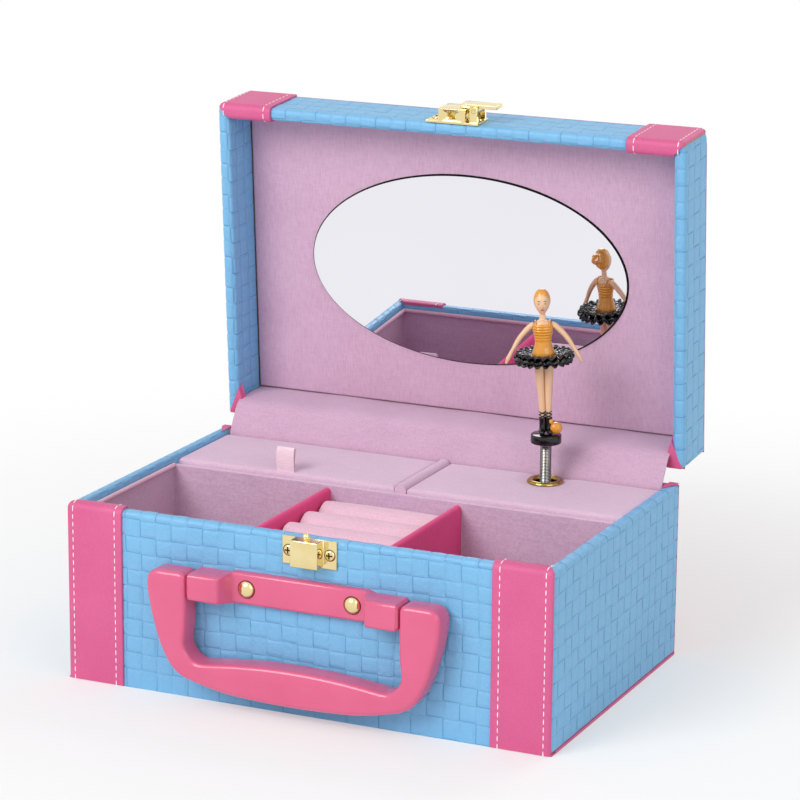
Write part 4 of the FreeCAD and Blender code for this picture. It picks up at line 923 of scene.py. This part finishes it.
tray_roll = arc(LINING / 2, tray_high[2] - LINING_DROP - LINING / 2, LINING / 2, 180, 0, 4)
boxed("tray_flock", tray_low, tray_high, [(0, floor_z)] + tray_roll + [
    (LINING, floor_z + 1.4), (LINING + 0.4, floor_z + 0.75), (LINING + 1.0, floor_z + LINING)], "tray_lining")
boxed("compartment_flock", (-half + WALL, corner("cross_wall")[1][1]),
      (corner("bay_divider")[0][0], corner("back_board")[0][1]),
      [(0.02, floor_z + 0.05), (0.02, cleat_foot - 0.1), (LINING, cleat_foot - 0.1), (LINING, floor_z + 1.2),
       (LINING + 0.8, floor_z + LINING)])
nodes["deck_cleats"].data.materials[0] = shaded_flock
bar("cross_wall_roll", "cross_wall", -1.0, lit_velour)
bar("bay_strip_roll", "bay_divider", 1.8, lit_velour)
for side in ("left", "right"):
    bar("divider_" + side + "_board", "tray_divider_" + side, 0.0, magenta)
eased("ring_bed_foam", "ring_bed", 1.0, plush, "case", 2)

# %% [markdown]
# A pale piping covers the joint between flock and rim on the front and the two sides: a round cord of
# cloth, swept along the same rounded path.

# %% Piping at the rim
PIPE, PIPE_CORNER, PIPE_DROP, PIPE_GAP = 0.8, 1.0, 0.6, 0.15
pipe_path = wall_path(PIPE_CORNER, tray_high[1] - LINING)
pipe_lines = [[p + (tray_high[2] - PIPE_DROP + z,) for p in pipe_path(x - WALL - FACING - PIPE_GAP - PIPE)]
              for x, z in arc(0, 0, PIPE, 0, 330, 11)]
grid_piece("rim_piping", list(zip(*pipe_lines)), plush, "case")

# %% [markdown]
# The ring rolls are foam cylinders in plush. Each one is turned about its length, a little fuller in the
# middle and tucked in at the ends, so that it presses against its neighbours the way stuffed rolls do.

# %% Ring rolls
ROLLS, ROLL_STEPS = 4, 40
SLACK, FULLER, TUCK_FROM, TUCK_END, PUCKER = 0.15, 0.25, 0.93, 0.72, 0.010
rolls_low, rolls_high = corner("ring_rolls")
roll_radius = (rolls_high[2] - rolls_low[2]) / 2
roll_pitch = (rolls_high[1] - rolls_low[1] - 2 * roll_radius) / (ROLLS - 1)


def ring_roll(n):
    rows = []
    for t in np.linspace(-1, 1, ROLL_STEPS + 1):
        x = rolls_low[0] + (rolls_high[0] - rolls_low[0]) * (t + 1) / 2
        tuck = math.sqrt(max(0.0, 1 - max(0.0, (abs(t) - TUCK_FROM) / (1 - TUCK_FROM)) ** 2))
        radius = (roll_radius - SLACK + FULLER * (1 - t * t)) * (TUCK_END + (1 - TUCK_END) * tuck)
        row = []
        for a in around(ROLL_STEPS):
            r = radius * (1 + PUCKER * math.sin(9 * a + 2 * n) * abs(t) ** 8)
            row.append((x, rolls_low[1] + roll_radius + n * roll_pitch + r * math.cos(a),
                        rolls_low[2] + roll_radius + r * math.sin(a)))
        rows.append(row)
    return grid_mesh(rows)


rolls = joined([ring_roll(n) for n in range(ROLLS)])
place_piece("ring_roll_set", rolls, plush, "case", "ring_rolls")

# %% [markdown]
# The compartment lid, the panel over the movement and the liner of the big lid are boards with a thin layer
# of foam under cloth. Seen from the side the cloth leaves the edge in a tight curve and then rises slowly,
# so the top is a grid whose height follows those two rules, closed underneath.

# %% Padded boards
def spread(low, high, ease, count):
    """Positions from low to high, close together near both ends."""
    near = [ease * (1 - math.cos(math.pi / 2 * n / 5)) for n in range(5)]
    return [low + e for e in near] + [*np.linspace(low + ease, high - ease, count)] + [high - e for e in near[::-1]]


def padded_board(low, high, ease, crown, lift=0.0, dents=(), ripple=0.06):
    """A closed board with a soft top: lift is its foam, crown its swelling; dents are (x, y, inner, outer)."""
    mid = [(p + q) / 2 for p, q in zip(low, high)]

    def soft_top(x, y):
        edge = min(x - low[0], high[0] - x, y - low[1], high[1] - y)
        fall = ease * (1 - math.sqrt(max(0.0, 1 - (1 - min(edge / ease, 1.0)) ** 2)))
        s, t = (x - mid[0]) / (high[0] - mid[0]), (y - mid[1]) / (high[1] - mid[1])
        swell = lift + crown * (1 - s ** 4) * (1 - t ** 4)
        swell += ripple * math.sin(x * 0.21 + 1.3 * math.sin(y * 0.17)) * (1 - s ** 8) * (1 - t ** 8)
        for dent_x, dent_y, inner, outer in dents:
            swell *= smooth_share(math.hypot(x - dent_x, y - dent_y), inner, outer)
        return high[2] - fall + swell

    xs, ys = spread(low[0], high[0], ease, 56), spread(low[1], high[1], ease, 30)
    mesh = joined([grid_mesh([[(x, y, height(x, y)) for y in ys] for x in xs], wrap_columns=False)
                   for height in (soft_top, lambda x, y: low[2])])
    with reshaped(mesh) as shell:
        bmesh.ops.bridge_loops(shell, edges=[edge for edge in shell.edges if edge.is_boundary])
    return mesh


def bore_mesh(centre, radius, axis):
    """A long round bar along Y or Z, to cut a hole with."""
    drill = bmesh.new()
    bmesh.ops.create_cone(drill, cap_ends=True, segments=48, radius1=radius * MM, radius2=radius * MM, depth=20 * MM)
    if axis == "Y":
        bmesh.ops.rotate(drill, matrix=Matrix.Rotation(math.pi / 2, 3, "X"), verts=drill.verts)
    bmesh.ops.translate(drill, vec=metres(centre), verts=drill.verts)
    return written(drill)


DECK = {"ease": 1.3, "crown": 0.8, "lift": 0.5}
EYELET_BORE, ARBOR_BORE = 4.75, 3.2
EYELET_DENT = (6.5, 12.0)
flap = padded_board(*corner("compartment_lid"), **DECK)
place_piece("compartment_pad", flap, lit_velour, "flap", "compartment_lid")
_, (_, deck_rear, deck_top) = corner("movement_panel")
spindle_x, spindle_y = [value / MM for value in joints["dancer_spin"]["pos_m"]][:2]
panel = padded_board(*corner("movement_panel"), **DECK, dents=[(spindle_x, spindle_y, *EYELET_DENT)])
panel = carved(panel, bore_mesh((spindle_x, spindle_y, deck_top), EYELET_BORE, "Z"))
place_piece("movement_pad", panel, lit_velour, "case", "movement_panel")

# %% [markdown]
# The liner of the lid is made face up and then turned over: in the shut lid it looks down. The mirror lies
# on it, an oval of glass with a ground edge that reads as a thin dark line.

# %% Lid liner and mirror
LINER_THICK, LINER_GAP, LINER_SHORT, LID_WALL = 1.6, 0.3, 2.15, 3.4
GLASS, MIRROR_X, MIRROR_WIDE, MIRROR_TALL = 1.0, 1.0, 63.8, 36.2
back_inner = LID_BACK - SKIN - LID_WALL
liner_x, liner_front, liner_back = half - INNER - LINER_GAP, front + INNER + LINER_GAP, back_inner - LINER_SHORT
liner = padded_board((-liner_x, liner_front, 0), (liner_x, liner_back, LINER_THICK), 0.7, 0.25)
liner.transform(Matrix.Translation(metres((0, liner_front + liner_back, liner_face + LINER_THICK)))
                @ Matrix.Rotation(math.pi, 4, "X"))
place_piece("lid_pad", liner, lilac, "lid", "lid_liner")

glass_z = liner_face - GLASS
glass_rows = [[(MIRROR_X + (MIRROR_WIDE - inset) * math.cos(a), (MIRROR_TALL - inset) * math.sin(a), height)
               for a in around(160)]
              for inset, height in ((2.0, liner_face), (0.0, liner_face), (0.0, glass_z + 0.75), (0.62, glass_z))]
glass = grid_piece("oval_mirror", glass_rows, [ground_edge, silver], "lid", "mirror")
largest = max(glass.data.polygons, key=lambda face: face.area if face.normal.y < 0 else 0)
largest.material_index = 1
print("mirror face", round(largest.area * 1e4, 1), "cm2")

# %% [markdown]
# Behind the decks the pink covering of the back is turned over the rim of the case, and on the lid over the
# rim of its back wall. Both folds are one rounded section, swept from side to side. At their ends the
# leatherette is tucked into a flat three-cornered fold.

# %% Folds at the back
FOLD_ROUND, FOLD_SKIN, FOLD_OUT, FOLD_IN, TUCK_ROUND = 0.9, 0.35, 2.0, 4.5, 0.5


def fold(name, outside, inside, top_z, away, half_width, body):
    """A fold over a wall between two Y values; away is 1 if the rim points up and -1 if it points down."""
    r, skin_y = FOLD_ROUND, inside - FOLD_SKIN
    line = ([(outside, -FOLD_OUT)] + arc(outside - r, -r, r, 0, 90, 4) + arc(skin_y + r, -r, r, 90, 180, 4)
            + [(skin_y, -FOLD_IN), (inside, -FOLD_IN), (inside, -SKIN), (outside - SKIN, -SKIN),
               (outside - SKIN, -FOLD_OUT)])
    rows = [[(x, y, top_z + away * z) for y, z in line] for x in (-half_width, half_width)]
    grid_piece(name, rows, pink_leather, body)


def tucked_corners(name, plan, low, high, body):
    """Folded corners of leatherette: a plan outline between two heights, with soft edges, left and right."""
    for way, side in zip(BOTH, ("_left", "_right")):
        mesh = grid_mesh([[(way * x, y, z) for x, y in plan] for z in (low, high)])
        with reshaped(mesh) as shell:
            bmesh.ops.bevel(shell, geom=shell.edges[:], offset=TUCK_ROUND * MM, segments=4, profile=0.5,
                            affect="EDGES")
        place_piece(name + side, mesh, pink_leather, body)


rear_face = rear + SKIN
fold("case_back_fold", rear_face, rear - WALL + 1.6, rim, 1, half - WALL, "case")
fold("lid_back_fold", LID_BACK, back_inner, lid_rim, -1, half - INNER, "lid")
tuck_in, lid_tuck_in, tuck_out = half - WALL + 0.6, half - INNER, half - 0.7
tucked_corners("case_rear_corner", [(tuck_in, rear_face), (tuck_in, rear - 6.4), (tuck_out, rear - 1.2),
                                    (tuck_out, rear_face)], rim - 1.4, rim + 0.2, "case")
tucked_corners("lid_rear_corner", [(lid_tuck_in - 2.0, LID_BACK), (lid_tuck_in - 2.0, LID_BACK - 4.6),
                                   (lid_tuck_in - 0.3, LID_BACK - 10.5), (tuck_out, LID_BACK - 1.0),
                                   (tuck_out, LID_BACK)], lid_rim - 0.2, lid_rim + 2.2, "lid")

# %% [markdown]
# The back of the case and the top of the lid are each one sheet of pink leatherette over a board. Leatherette
# drawn over a board is full in the middle and round at its edges, which is the rule of the padded boards with
# almost no foam, so the same function makes both sheets. The back is drilled for the winding arbor.

# %% Back and top sheets
SHEET, SHEET_EASE = 0.62, 0.55
edge_x, edge_y = half + PROUD, front - PROUD
top_sheet = padded_board((-edge_x, edge_y, lid_top - SHEET), (edge_x, LID_BACK + PROUD, lid_top),
                         SHEET_EASE, 0.2, ripple=0.03)
for vertex in top_sheet.vertices:
    past_x = abs(vertex.co.x) / MM - (edge_x - LID_CORNER)
    past_y = edge_y + LID_CORNER - vertex.co.y / MM
    if past_x > 0 and past_y > 0:
        pull = 1 - min(1.0, LID_CORNER / math.hypot(past_x, past_y))
        vertex.co.x -= math.copysign(past_x * pull * MM, vertex.co.x)
        vertex.co.y += past_y * pull * MM
place_piece("lid_top_leather", top_sheet, pink_leather, "lid", "lid_top_wrap")
arbor = [value / MM for value in joints["wind_key_turn"]["pos_m"]]
back_face = corner("back_wrap")[1][1]
back_sheet = padded_board((-edge_x, 0.05, back_face - SHEET), (edge_x, rim - 0.2, back_face),
                          SHEET_EASE, 0.0, ripple=0.015)
back_sheet.transform(Matrix(((1, 0, 0, 0), (0, 0, 1, 0), (0, 1, 0, 0), (0, 0, 0, 1))))
back_sheet = carved(back_sheet, bore_mesh(arbor, ARBOR_BORE, "Y"))
place_piece("case_back_leather", back_sheet, pink_leather, "case", "back_wrap")

# %% [markdown]
# The soft hinge has two sheets. Inside, a lilac gusset hangs from the back of the decks to the lower edge of
# the liner and hides the gap; outside, a band of pink leatherette carries the lid. Both belong half to the
# case and half to the lid; each is taken off its body and keeps the shape it is made in.

# %% Soft hinge
GUSSET_HALF, GUSSET_THICK, BAND_THICK = 87.3, 0.5, 0.6


def smooth_line(points, steps=8):
    """A smooth line through points, as a Catmull-Rom curve."""
    ends = [2 * np.array(points[0]) - points[1]] + [np.array(p) for p in points]
    ends.append(2 * ends[-1] - ends[-2])
    made = []
    for p0, p1, p2, p3 in zip(ends, ends[1:], ends[2:], ends[3:]):
        for t in (n / steps for n in range(steps)):
            made.append(0.5 * (2 * p1 + (p2 - p0) * t + (2 * p0 - 5 * p1 + 4 * p2 - p3) * t * t
                               + (3 * p1 - p0 - 3 * p2 + p3) * t ** 3))
    return made + [ends[-2]]


def sheet_rows(line, half_width, thick, ripple, columns=70, middle=0.0):
    """Rows across a sheet along a line in the YZ plane, with soft ripples, closed into a thin shell."""
    rows = []
    for n, spot in enumerate(line):
        run = line[min(n + 1, len(line) - 1)] - line[max(n - 1, 0)]
        normal = np.array((-run[1], run[0])) / np.linalg.norm(run)
        share = math.sin(math.pi * n / (len(line) - 1))
        over, below = [], []
        for x in np.linspace(-half_width, half_width, columns + 1):
            wave = math.sin(x * 0.11 + 0.9) * 0.6 + math.sin(x * 0.23 + n * 0.16) * 0.4
            shift = spot + normal * ripple * share * wave
            over.append((middle + x, *(shift + normal * thick / 2)))
            below.append((middle + x, *(shift - normal * thick / 2)))
        rows.append(over + below[::-1])
    return rows


def lid_point(y, z):
    point = OPEN_LID @ Vector((0, y * MM, z * MM))
    return point.y / MM, point.z / MM


def blended(made, start, end):
    """Takes a piece off its body and bakes its place into its mesh."""
    made.parent = None
    del made["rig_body"]
    tuple(metres(start))
    tuple(metres(end))
    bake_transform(made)


band_half = corner("hinge_band")[1][0]
gusset_y = deck_rear + 1.3
gusset_line = smooth_line([(gusset_y, deck_top - 2.6), (gusset_y, deck_top + 1.0), (57.6, 68.6),
                           lid_point(back_inner - 1.6, lid_rim - 0.6),
                           lid_point(back_inner - 2.2, (lid_rim + liner_face) / 2),
                           lid_point(back_inner - 1.6, liner_face - 0.2),
                           lid_point(back_inner - 1.4, liner_face + 1.4)])
band_line = smooth_line([lid_point(LID_BACK + 0.35, lid_rim + 11.8), lid_point(LID_BACK + 0.35, lid_rim + 3.8),
                         (61.3, 66.6), (59.55, 62.8), (59.55, 52.5)])
gusset = grid_piece("hinge_gusset", sheet_rows(gusset_line, GUSSET_HALF, GUSSET_THICK, 0.45), lilac, "case",
                    "hinge_lining")
band = grid_piece("hinge_leather", sheet_rows(band_line, band_half, BAND_THICK, 0.05), pink_leather, "case",
                  "hinge_band")
for made, line, width, start, end, rests_on in (
        (gusset, gusset_line, 2 * GUSSET_HALF, gusset_line[6], gusset_line[-17], ["movement_panel", "lid_liner"]),
        (band, band_line, 2 * band_half, band_line[-9], band_line[8], ["back_wrap", "lid_top_wrap"])):
    blended(made, (0, *start), (0, *end))
    flat = width * MM, float(run_up(line)[-1]) * MM
    print(made.name, "flat", [round(value, 4) for value in flat])

# %% [markdown]
# A ribbon tab lifts the compartment lid: a satin strip folded into a loop that stands up and leans a little.

# %% Ribbon tab
RIBBON_THICK = 0.25
ribbon_low, ribbon_high = corner("pull_ribbon")
ribbon_x, ribbon_y = ((ribbon_low[n] + ribbon_high[n]) / 2 for n in (0, 1))
loop = [(-0.2, -0.4), (-0.9, 4.0), (-0.7, 8.4), (0.1, 9.6), (0.7, 8.4), (0.1, 4.0), (0.5, -0.4)]
loop_line = smooth_line([(ribbon_y + y, ribbon_low[2] + z) for y, z in loop], 5)
ribbon_rows = sheet_rows(loop_line, ribbon_high[0] - ribbon_x, RIBBON_THICK, 0.0, 8, ribbon_x)
grid_piece("ribbon_tab", ribbon_rows, satin, "flap", "pull_ribbon")

# %% [markdown]
# The eyelet is a rolled brass ring and the stand a black disc, both turned. The dancer stands on a close
# coil of steel wire, which bends on the real box when the lid pushes the dancer down; here it is a helix of
# small rings of points that keeps its shape.

# %% Eyelet, stand and coil spring
EYELET_IN, STAND_R, STEM = 4.2, 5.6, 0.8
WIRE, PITCH, PER_TURN = 0.27, 0.56, 20
eyelet_low, eyelet_high = corner("eyelet")
flange = (eyelet_high[0] - eyelet_low[0]) / 2
bead = (flange - EYELET_IN) / 2
eyelet_profile = ([(EYELET_IN, eyelet_low[2])]
                  + [(x, deck_top + 0.15 + max(0, z)) for x, z in arc(flange - bead, 0, bead, 180, 0, 10)]
                  + [(EYELET_BORE, deck_top), (EYELET_BORE, eyelet_low[2]), (EYELET_IN, eyelet_low[2])])
spring_low, spring_high = corner("bend_spring")
stand_low, foot = spring_high[2], corner("dancer_stand")[1][2]
stand_profile = [(0, stand_low - STEM), (1.0, stand_low - STEM), (1.1, stand_low), (STAND_R - 0.5, stand_low),
                 (STAND_R - 0.1, stand_low + 0.15), (STAND_R, stand_low + 0.5), (STAND_R, foot - 0.7),
                 (STAND_R - 0.12, foot - 0.25), (STAND_R - 0.5, foot), (0, foot)]
axle = (spindle_x, spindle_y, 0)
place_piece("eyelet_ring", turned(eyelet_profile, centre=axle), brass, "case", "eyelet")
place_piece("stand_disc", turned(stand_profile, centre=axle), black, "dancer", "dancer_stand")

coil_radius = (spring_high[0] - spring_low[0]) / 2 - WIRE
coil_rows = []
for n in range(int((spring_high[2] - spring_low[2] - 2 * WIRE) / PITCH * PER_TURN) + 1):
    a = 2 * math.pi * n / PER_TURN
    out = Vector((math.cos(a), math.sin(a), 0))
    middle = Vector((spindle_x, spindle_y, spring_low[2] + WIRE + PITCH * n / PER_TURN)) + out * coil_radius
    coil_rows.append([middle + out * WIRE * math.cos(b) + Vector((0, 0, WIRE * math.sin(b))) for b in around(7)])
coil = grid_piece("coil_spring", coil_rows, steel, "bend", "bend_spring")
blended(coil, (spindle_x, spindle_y, deck_top + 0.6), (spindle_x, spindle_y, spring_high[2] - 1.0))

# %% [markdown]
# The dancer is a small painted plastic doll: slim legs in black boots, a ruffled black skirt moulded in one
# piece, an orange bodice, thin arms held away from the skirt and orange hair in a bun. Limbs are tubes along
# a smooth line with a radius at each point, the head is a ball drawn in towards the chin, and the face is
# only a few dots of paint.

# %% Dancer
TURNED, LEAN = math.radians(22.0), math.radians(2.8)
SOFT = math.pi
HEAD, HEAD_TALL, BUN = 129.2, 4.3, 130.7
RIB, RIBS_FROM = 1.05, 115.6
feet_at = Vector(metres((spindle_x, spindle_y, foot)))
DOLL = (Matrix.Translation(feet_at) @ Matrix.Rotation(LEAN, 4, Vector((math.sin(AZIMUTH), -math.cos(AZIMUTH), 0)))
        @ Matrix.Translation((0, 0, -feet_at.z)) @ Matrix.Rotation(TURNED, 4, "Z"))


def tube_mesh(points, radii, sides=14, squash=1.0, fine=6):
    """A round limb through points, with a radius at each; squash flattens it front to back."""
    line = smooth_line(points, fine)
    sizes = np.interp(np.linspace(0, len(points) - 1, len(line)), range(len(points)), radii)
    rows = []
    for n, (spot, size) in enumerate(zip(line, sizes)):
        run = Vector(line[min(n + 1, len(line) - 1)] - line[max(n - 1, 0)]).normalized()
        side = Vector((0, -1, 0)).cross(run)
        side = side.normalized() if side.length > 1e-3 else Vector((1, 0, 0))
        depth = run.cross(side) * squash
        rows.append([Vector(spot) + side * size * math.cos(a) + depth * size * math.sin(a) for a in around(sides)])
    return grid_mesh(rows)


def pair(points, radii, sides=14):
    """The same limb on both sides."""
    return [tube_mesh([(way * x, y, z) for x, y, z in points], radii, sides) for way in BOTH]


def ball_mesh(centre, radii, steps=20):
    profile = [(math.sin(math.pi * n / steps), -math.cos(math.pi * n / steps)) for n in range(steps + 1)]
    rows = [[[c + p * r for c, p, r in zip(centre, point, radii)] for point in row]
            for row in lathe(profile, steps * 2)]
    return grid_mesh(rows, wrap_rows=True, wrap_columns=False)


def reformed(mesh, rule):
    """Moves each point of a mesh by a rule on its place in millimetres."""
    for vertex in mesh.vertices:
        vertex.co = metres(rule(*(value / MM for value in vertex.co)))
    return mesh


def doll_piece(name, parts, material, stands_for=""):
    mesh = joined([merged(part) for part in parts])
    mesh.transform(DOLL)
    place_piece(name, mesh, material, "dancer", stands_for, sharp=SOFT)


def chin(x, y, z):
    low = max(0.0, (HEAD - z) / HEAD_TALL)
    return x * (1 - 0.36 * low ** 1.6), y * (1 - 0.25 * low ** 1.6) - 0.3 * low, z


def ribs(x, y, z):
    swell = 1 + 0.03 * math.sin(2 * math.pi * z / RIB) if z > RIBS_FROM else 1
    return x * swell, y * swell, z


def combed(x, y, z):
    brushed = y + 0.26 * max(0.0, -y) * max(0.0, HEAD + 2.6 - z)
    return x, brushed + 0.08 * math.sin(14 * math.atan2(x, z - HEAD)), z


def swirl(x, y, z):
    return x, y + 0.25 * math.sin(3 * math.atan2(z - BUN, x) + y * 1.8), z


def tufts(x, y, z):
    return x, y + 0.12 * math.sin(9 * math.atan2(z - foot - 2.4, x - 3.7)), z


legs = pair([(1.1, 0, foot + 4.0), (1.15, -0.1, foot + 9), (1.35, 0.1, foot + 15), (1.6, 0, foot + 21),
             (1.75, 0, foot + 28.5)], [1.0, 1.15, 1.35, 1.6, 1.85])
boots = pair([(1.1, 0.1, foot + 6.2), (1.1, 0.1, foot + 4.4), (1.15, 0, foot + 2.6), (1.25, -0.3, foot + 1.4),
              (1.5, -1.7, foot + 1.0), (1.6, -3.0, foot + 0.8)], [1.3, 1.25, 1.25, 1.3, 1.1, 0.7])
arms = pair([(3.2, 0, 121.4), (4.6, -0.1, 120.5), (6.8, -0.4, 118.4), (8.8, -0.8, 116.0), (10.9, -1.3, 112.6),
             (12.6, -1.5, 109.6), (13.6, -1.5, 107.5)], [1.0, 1.1, 1.0, 0.92, 0.72, 0.82, 0.4], 12)
torso = tube_mesh([(0, 0, 119.6), (0, 0, 121.4), (0, 0.05, 122.4), (0, 0.1, 123.2), (0, 0.1, 126.0)],
                  [3.0, 3.3, 2.5, 1.2, 1.0], 20, 0.72)
head = reformed(ball_mesh((0, 0, HEAD), (2.8, 3.1, HEAD_TALL)), chin)
nose = ball_mesh((0, -3.05, HEAD - 1.0), (0.4, 0.55, 0.75), 8)
doll_piece("dancer_skin", legs + arms + [torso, head, nose], skin, "dancer_figure")
bodice = tube_mesh([(0, 0, 109.4), (0, 0, 111.0), (0, 0, 113.0), (0, 0, 115.0), (0, -0.1, 117.2),
                    (0, -0.2, 119.2), (0, -0.2, 120.5), (0, -0.1, 121.0)],
                   [4.3, 4.1, 3.35, 2.95, 3.2, 3.75, 3.85, 3.6], 32, 0.76, 16)
straps = pair([(2.1, -2.4, 120.4), (2.5, -1.6, 122.0), (2.6, 0.2, 122.6), (2.3, 1.9, 121.3),
               (2.1, 2.3, 120.0)], [0.34] * 5, 8)
hair = reformed(ball_mesh((0, 0.55, HEAD + 0.9), (3.05, 3.15, 4.1)), combed)
bun = reformed(ball_mesh((0, 3.6, BUN), (2.1, 1.9, 2.1)), swirl)
bobble = reformed(ball_mesh((3.7, -1.5, foot + 2.4), (2.2, 1.9, 2.25)), tufts)
knot = ball_mesh((2.0, -1.2, foot + 4.7), (0.8, 0.8, 0.95), 12)
doll_piece("dancer_orange", [reformed(bodice, ribs), hair, bun, bobble, knot] + straps, orange)
laces = [tube_mesh([(way * 1.1 - slant * 1.15, -0.75, foot + z), (way * 1.1, -1.32, foot + z + 0.5),
                    (way * 1.1 + slant * 1.15, -0.75, foot + z + 1.0)], [0.2] * 3, 6)
         for way in BOTH for slant in BOTH for z in (6.2, 7.4)]
doll_piece("dancer_boots", boots + laces, black)
eyes = [ball_mesh((way * 1.05, -2.72, HEAD + 0.1), (0.4, 0.25, 0.22), 8) for way in BOTH]
brows = pair([(0.55, -2.95, HEAD + 0.85), (1.1, -2.82, HEAD + 1.1), (1.6, -2.48, HEAD + 0.85)], [0.1] * 3, 6)
doll_piece("dancer_eyes", eyes + brows, eye)
doll_piece("dancer_lips", [ball_mesh((0, -2.78, HEAD - 2.2), (0.6, 0.3, 0.26), 8)], lip)

# %% [markdown]
# The skirt is moulded in glossy black: three thick ruffled rings, the upper turned up at the rim and the lower
# turned down. A ruffle is a band whose rim waves up and down and in and out at the same time, a little apart,
# so that it rolls into rounded lobes. One subdivision rounds off its edges.

# %% Tutu
HIP, UNEVEN, FOLD_DEEP, LOBE_MEAN = 3.2, 0.35, 0.9, 0.6
RUFFLE_SHARES = (0.0, 0.22, 0.42, 0.58, 0.72, 0.84, 0.94, 1.0)
RUFFLE_THICK = (0.9, 0.9, 1.0, 1.2, 1.4, 1.4, 1.1, 0.5)
tutu_low, tutu_high = corner("dancer_tutu")
skirt = (tutu_high[0] - tutu_low[0]) / 2


def ruffle(z_inner, z_rim, reach, lobes, phase, rise):
    """One ruffled ring from the hip out to reach; its rim is a row of fat round lobes that rise or hang."""
    rows = []
    for a in around(lobes * 10):
        over, below = [], []
        wave = lobes * a / 2 + phase + UNEVEN * math.sin(3 * a + phase)
        lobe, fold_in = (abs(math.sin(wave + shift)) - LOBE_MEAN for shift in (0, 0.5))
        for t, thick in zip(RUFFLE_SHARES, RUFFLE_THICK):
            grow = t ** 1.3
            radius = HIP + (reach - HIP) * t + FOLD_DEEP * grow * fold_in
            z = z_inner + (z_rim - z_inner) * t + rise * grow * lobe
            for line, lift in ((over, thick / 2), (below, -thick / 2)):
                line.append((radius * math.cos(a), radius * math.sin(a), z + lift))
        rows.append(over + below[::-1])
    soft = add_object("ruffle", merged(grid_mesh(rows, wrap_rows=True)))
    rounding = soft.modifiers.new("rounding", "SUBSURF")
    rounding.levels = rounding.render_levels = 1
    return settled(soft)


layers = [ruffle(109.9, 110.6, skirt - 0.9, 20, 0.0, 1.5), ruffle(109.2, 109.2, skirt, 22, 0.8, 0.9),
          ruffle(108.5, 108.0, skirt - 0.6, 20, 0.4, -1.5)]
doll_piece("dancer_skirt", layers, frill, "dancer_tutu")

# %% [markdown]
# The winding key and its plate are on the back. The solids have the right form, so copies of them only get
# rounded edges and the gold finish. The small parts that stay as they are already have their materials.

# %% Winding key
eased("key_wings", "wind_key", 0.4, gold, "key")
eased("key_plate", "escutcheon", 0.3, gold, "case")

# %% [markdown]
# Last the room: a pale floor that keeps the shadow, a white world and soft lamps. The camera sees the floor
# fade to plain white with distance, and so do reflections, while the lamps stay at a level where a colour
# renders about as it was written.

# %% Floor and light
FLOOR, NEAR_WHITE, FADE = 6.0, 0.35, (0.12, 0.45)
WHITE, PAPER, SKY_LIGHT = (1, 1, 1, 1), (0.9, 0.9, 0.9, 1), 0.55
CASE_MIDDLE, LID_MIDDLE = (0, 0, 0.05), (0, 0, 0.08)


def looked_at(start):
    """1 for rays that end in the camera, straight or by way of a mirror, and 0 for light that only falls."""
    seen = [start.node("ShaderNodeLightPath", out=name)
            for name in ("Is Camera Ray", "Is Glossy Ray", "Is Transmission Ray")]
    return start.math("MINIMUM", seen[0] + seen[1] + seen[2], 1.0)


floor_mesh = bpy.data.meshes.new("floor")
floor_mesh.from_pydata([(-FLOOR, -FLOOR, 0), (FLOOR, -FLOOR, 0), (FLOOR, FLOOR, 0), (-FLOOR, FLOOR, 0)], [],
                       [(0, 1, 2, 3)])
add_object("floor", floor_mesh)
paper = bpy.data.materials.new("pale paper")
paper.use_nodes = True
tree = paper.node_tree
matt = tree.nodes["Principled BSDF"]
matt.inputs["Base Color"].default_value = PAPER
matt.inputs["Roughness"].default_value = 0.9
place = Wire(tree).node("ShaderNodeTexCoord", out="Object")
distance = place.node("ShaderNodeVectorMath", {"operation": "LENGTH"}, {0: place}, out="Value")
white = place.node("ShaderNodeEmission", None, {"Color": WHITE, "Strength": 1.0})
bleached = NEAR_WHITE + distance.step(*FADE) * (1 - NEAR_WHITE)
mixed = place.node("ShaderNodeMixShader", None, {0: looked_at(place) * bleached,
                                                  1: Wire(tree, matt.outputs[0]), 2: white})
tree.links.new(mixed.socket, tree.nodes["Material Output"].inputs["Surface"])
floor_mesh.materials.append(paper)

world = bpy.data.worlds.new("white room")
scene.world = world
world.use_nodes = True
backdrop = world.node_tree.nodes["Background"]
backdrop.inputs["Color"].default_value = WHITE
strength = looked_at(Wire(world.node_tree)) * (1 - SKY_LIGHT) + SKY_LIGHT
world.node_tree.links.new(strength.socket, backdrop.inputs["Strength"])


def lamp(name, place_at, target, size, watts):
    """A square soft light aimed at a point."""
    data = bpy.data.lights.new(name, "AREA")
    data.energy = watts
    data.size = size
    made = add_object(name, data)
    made.location = place_at
    made.rotation_mode = "QUATERNION"
    made.rotation_quaternion = (Vector(target) - Vector(place_at)).to_track_quat("-Z", "Y")
    print(name, watts, "W")


lamp("key", (-0.6, -1.35, 1.1), CASE_MIDDLE, 0.9, 18)
lamp("fill", (1.2, -0.9, 0.8), CASE_MIDDLE, 1.0, 5)
lamp("rim", (0.3, 1.2, 1.2), LID_MIDDLE, 0.8, 4.5)
scene.view_settings.view_transform = "Standard"
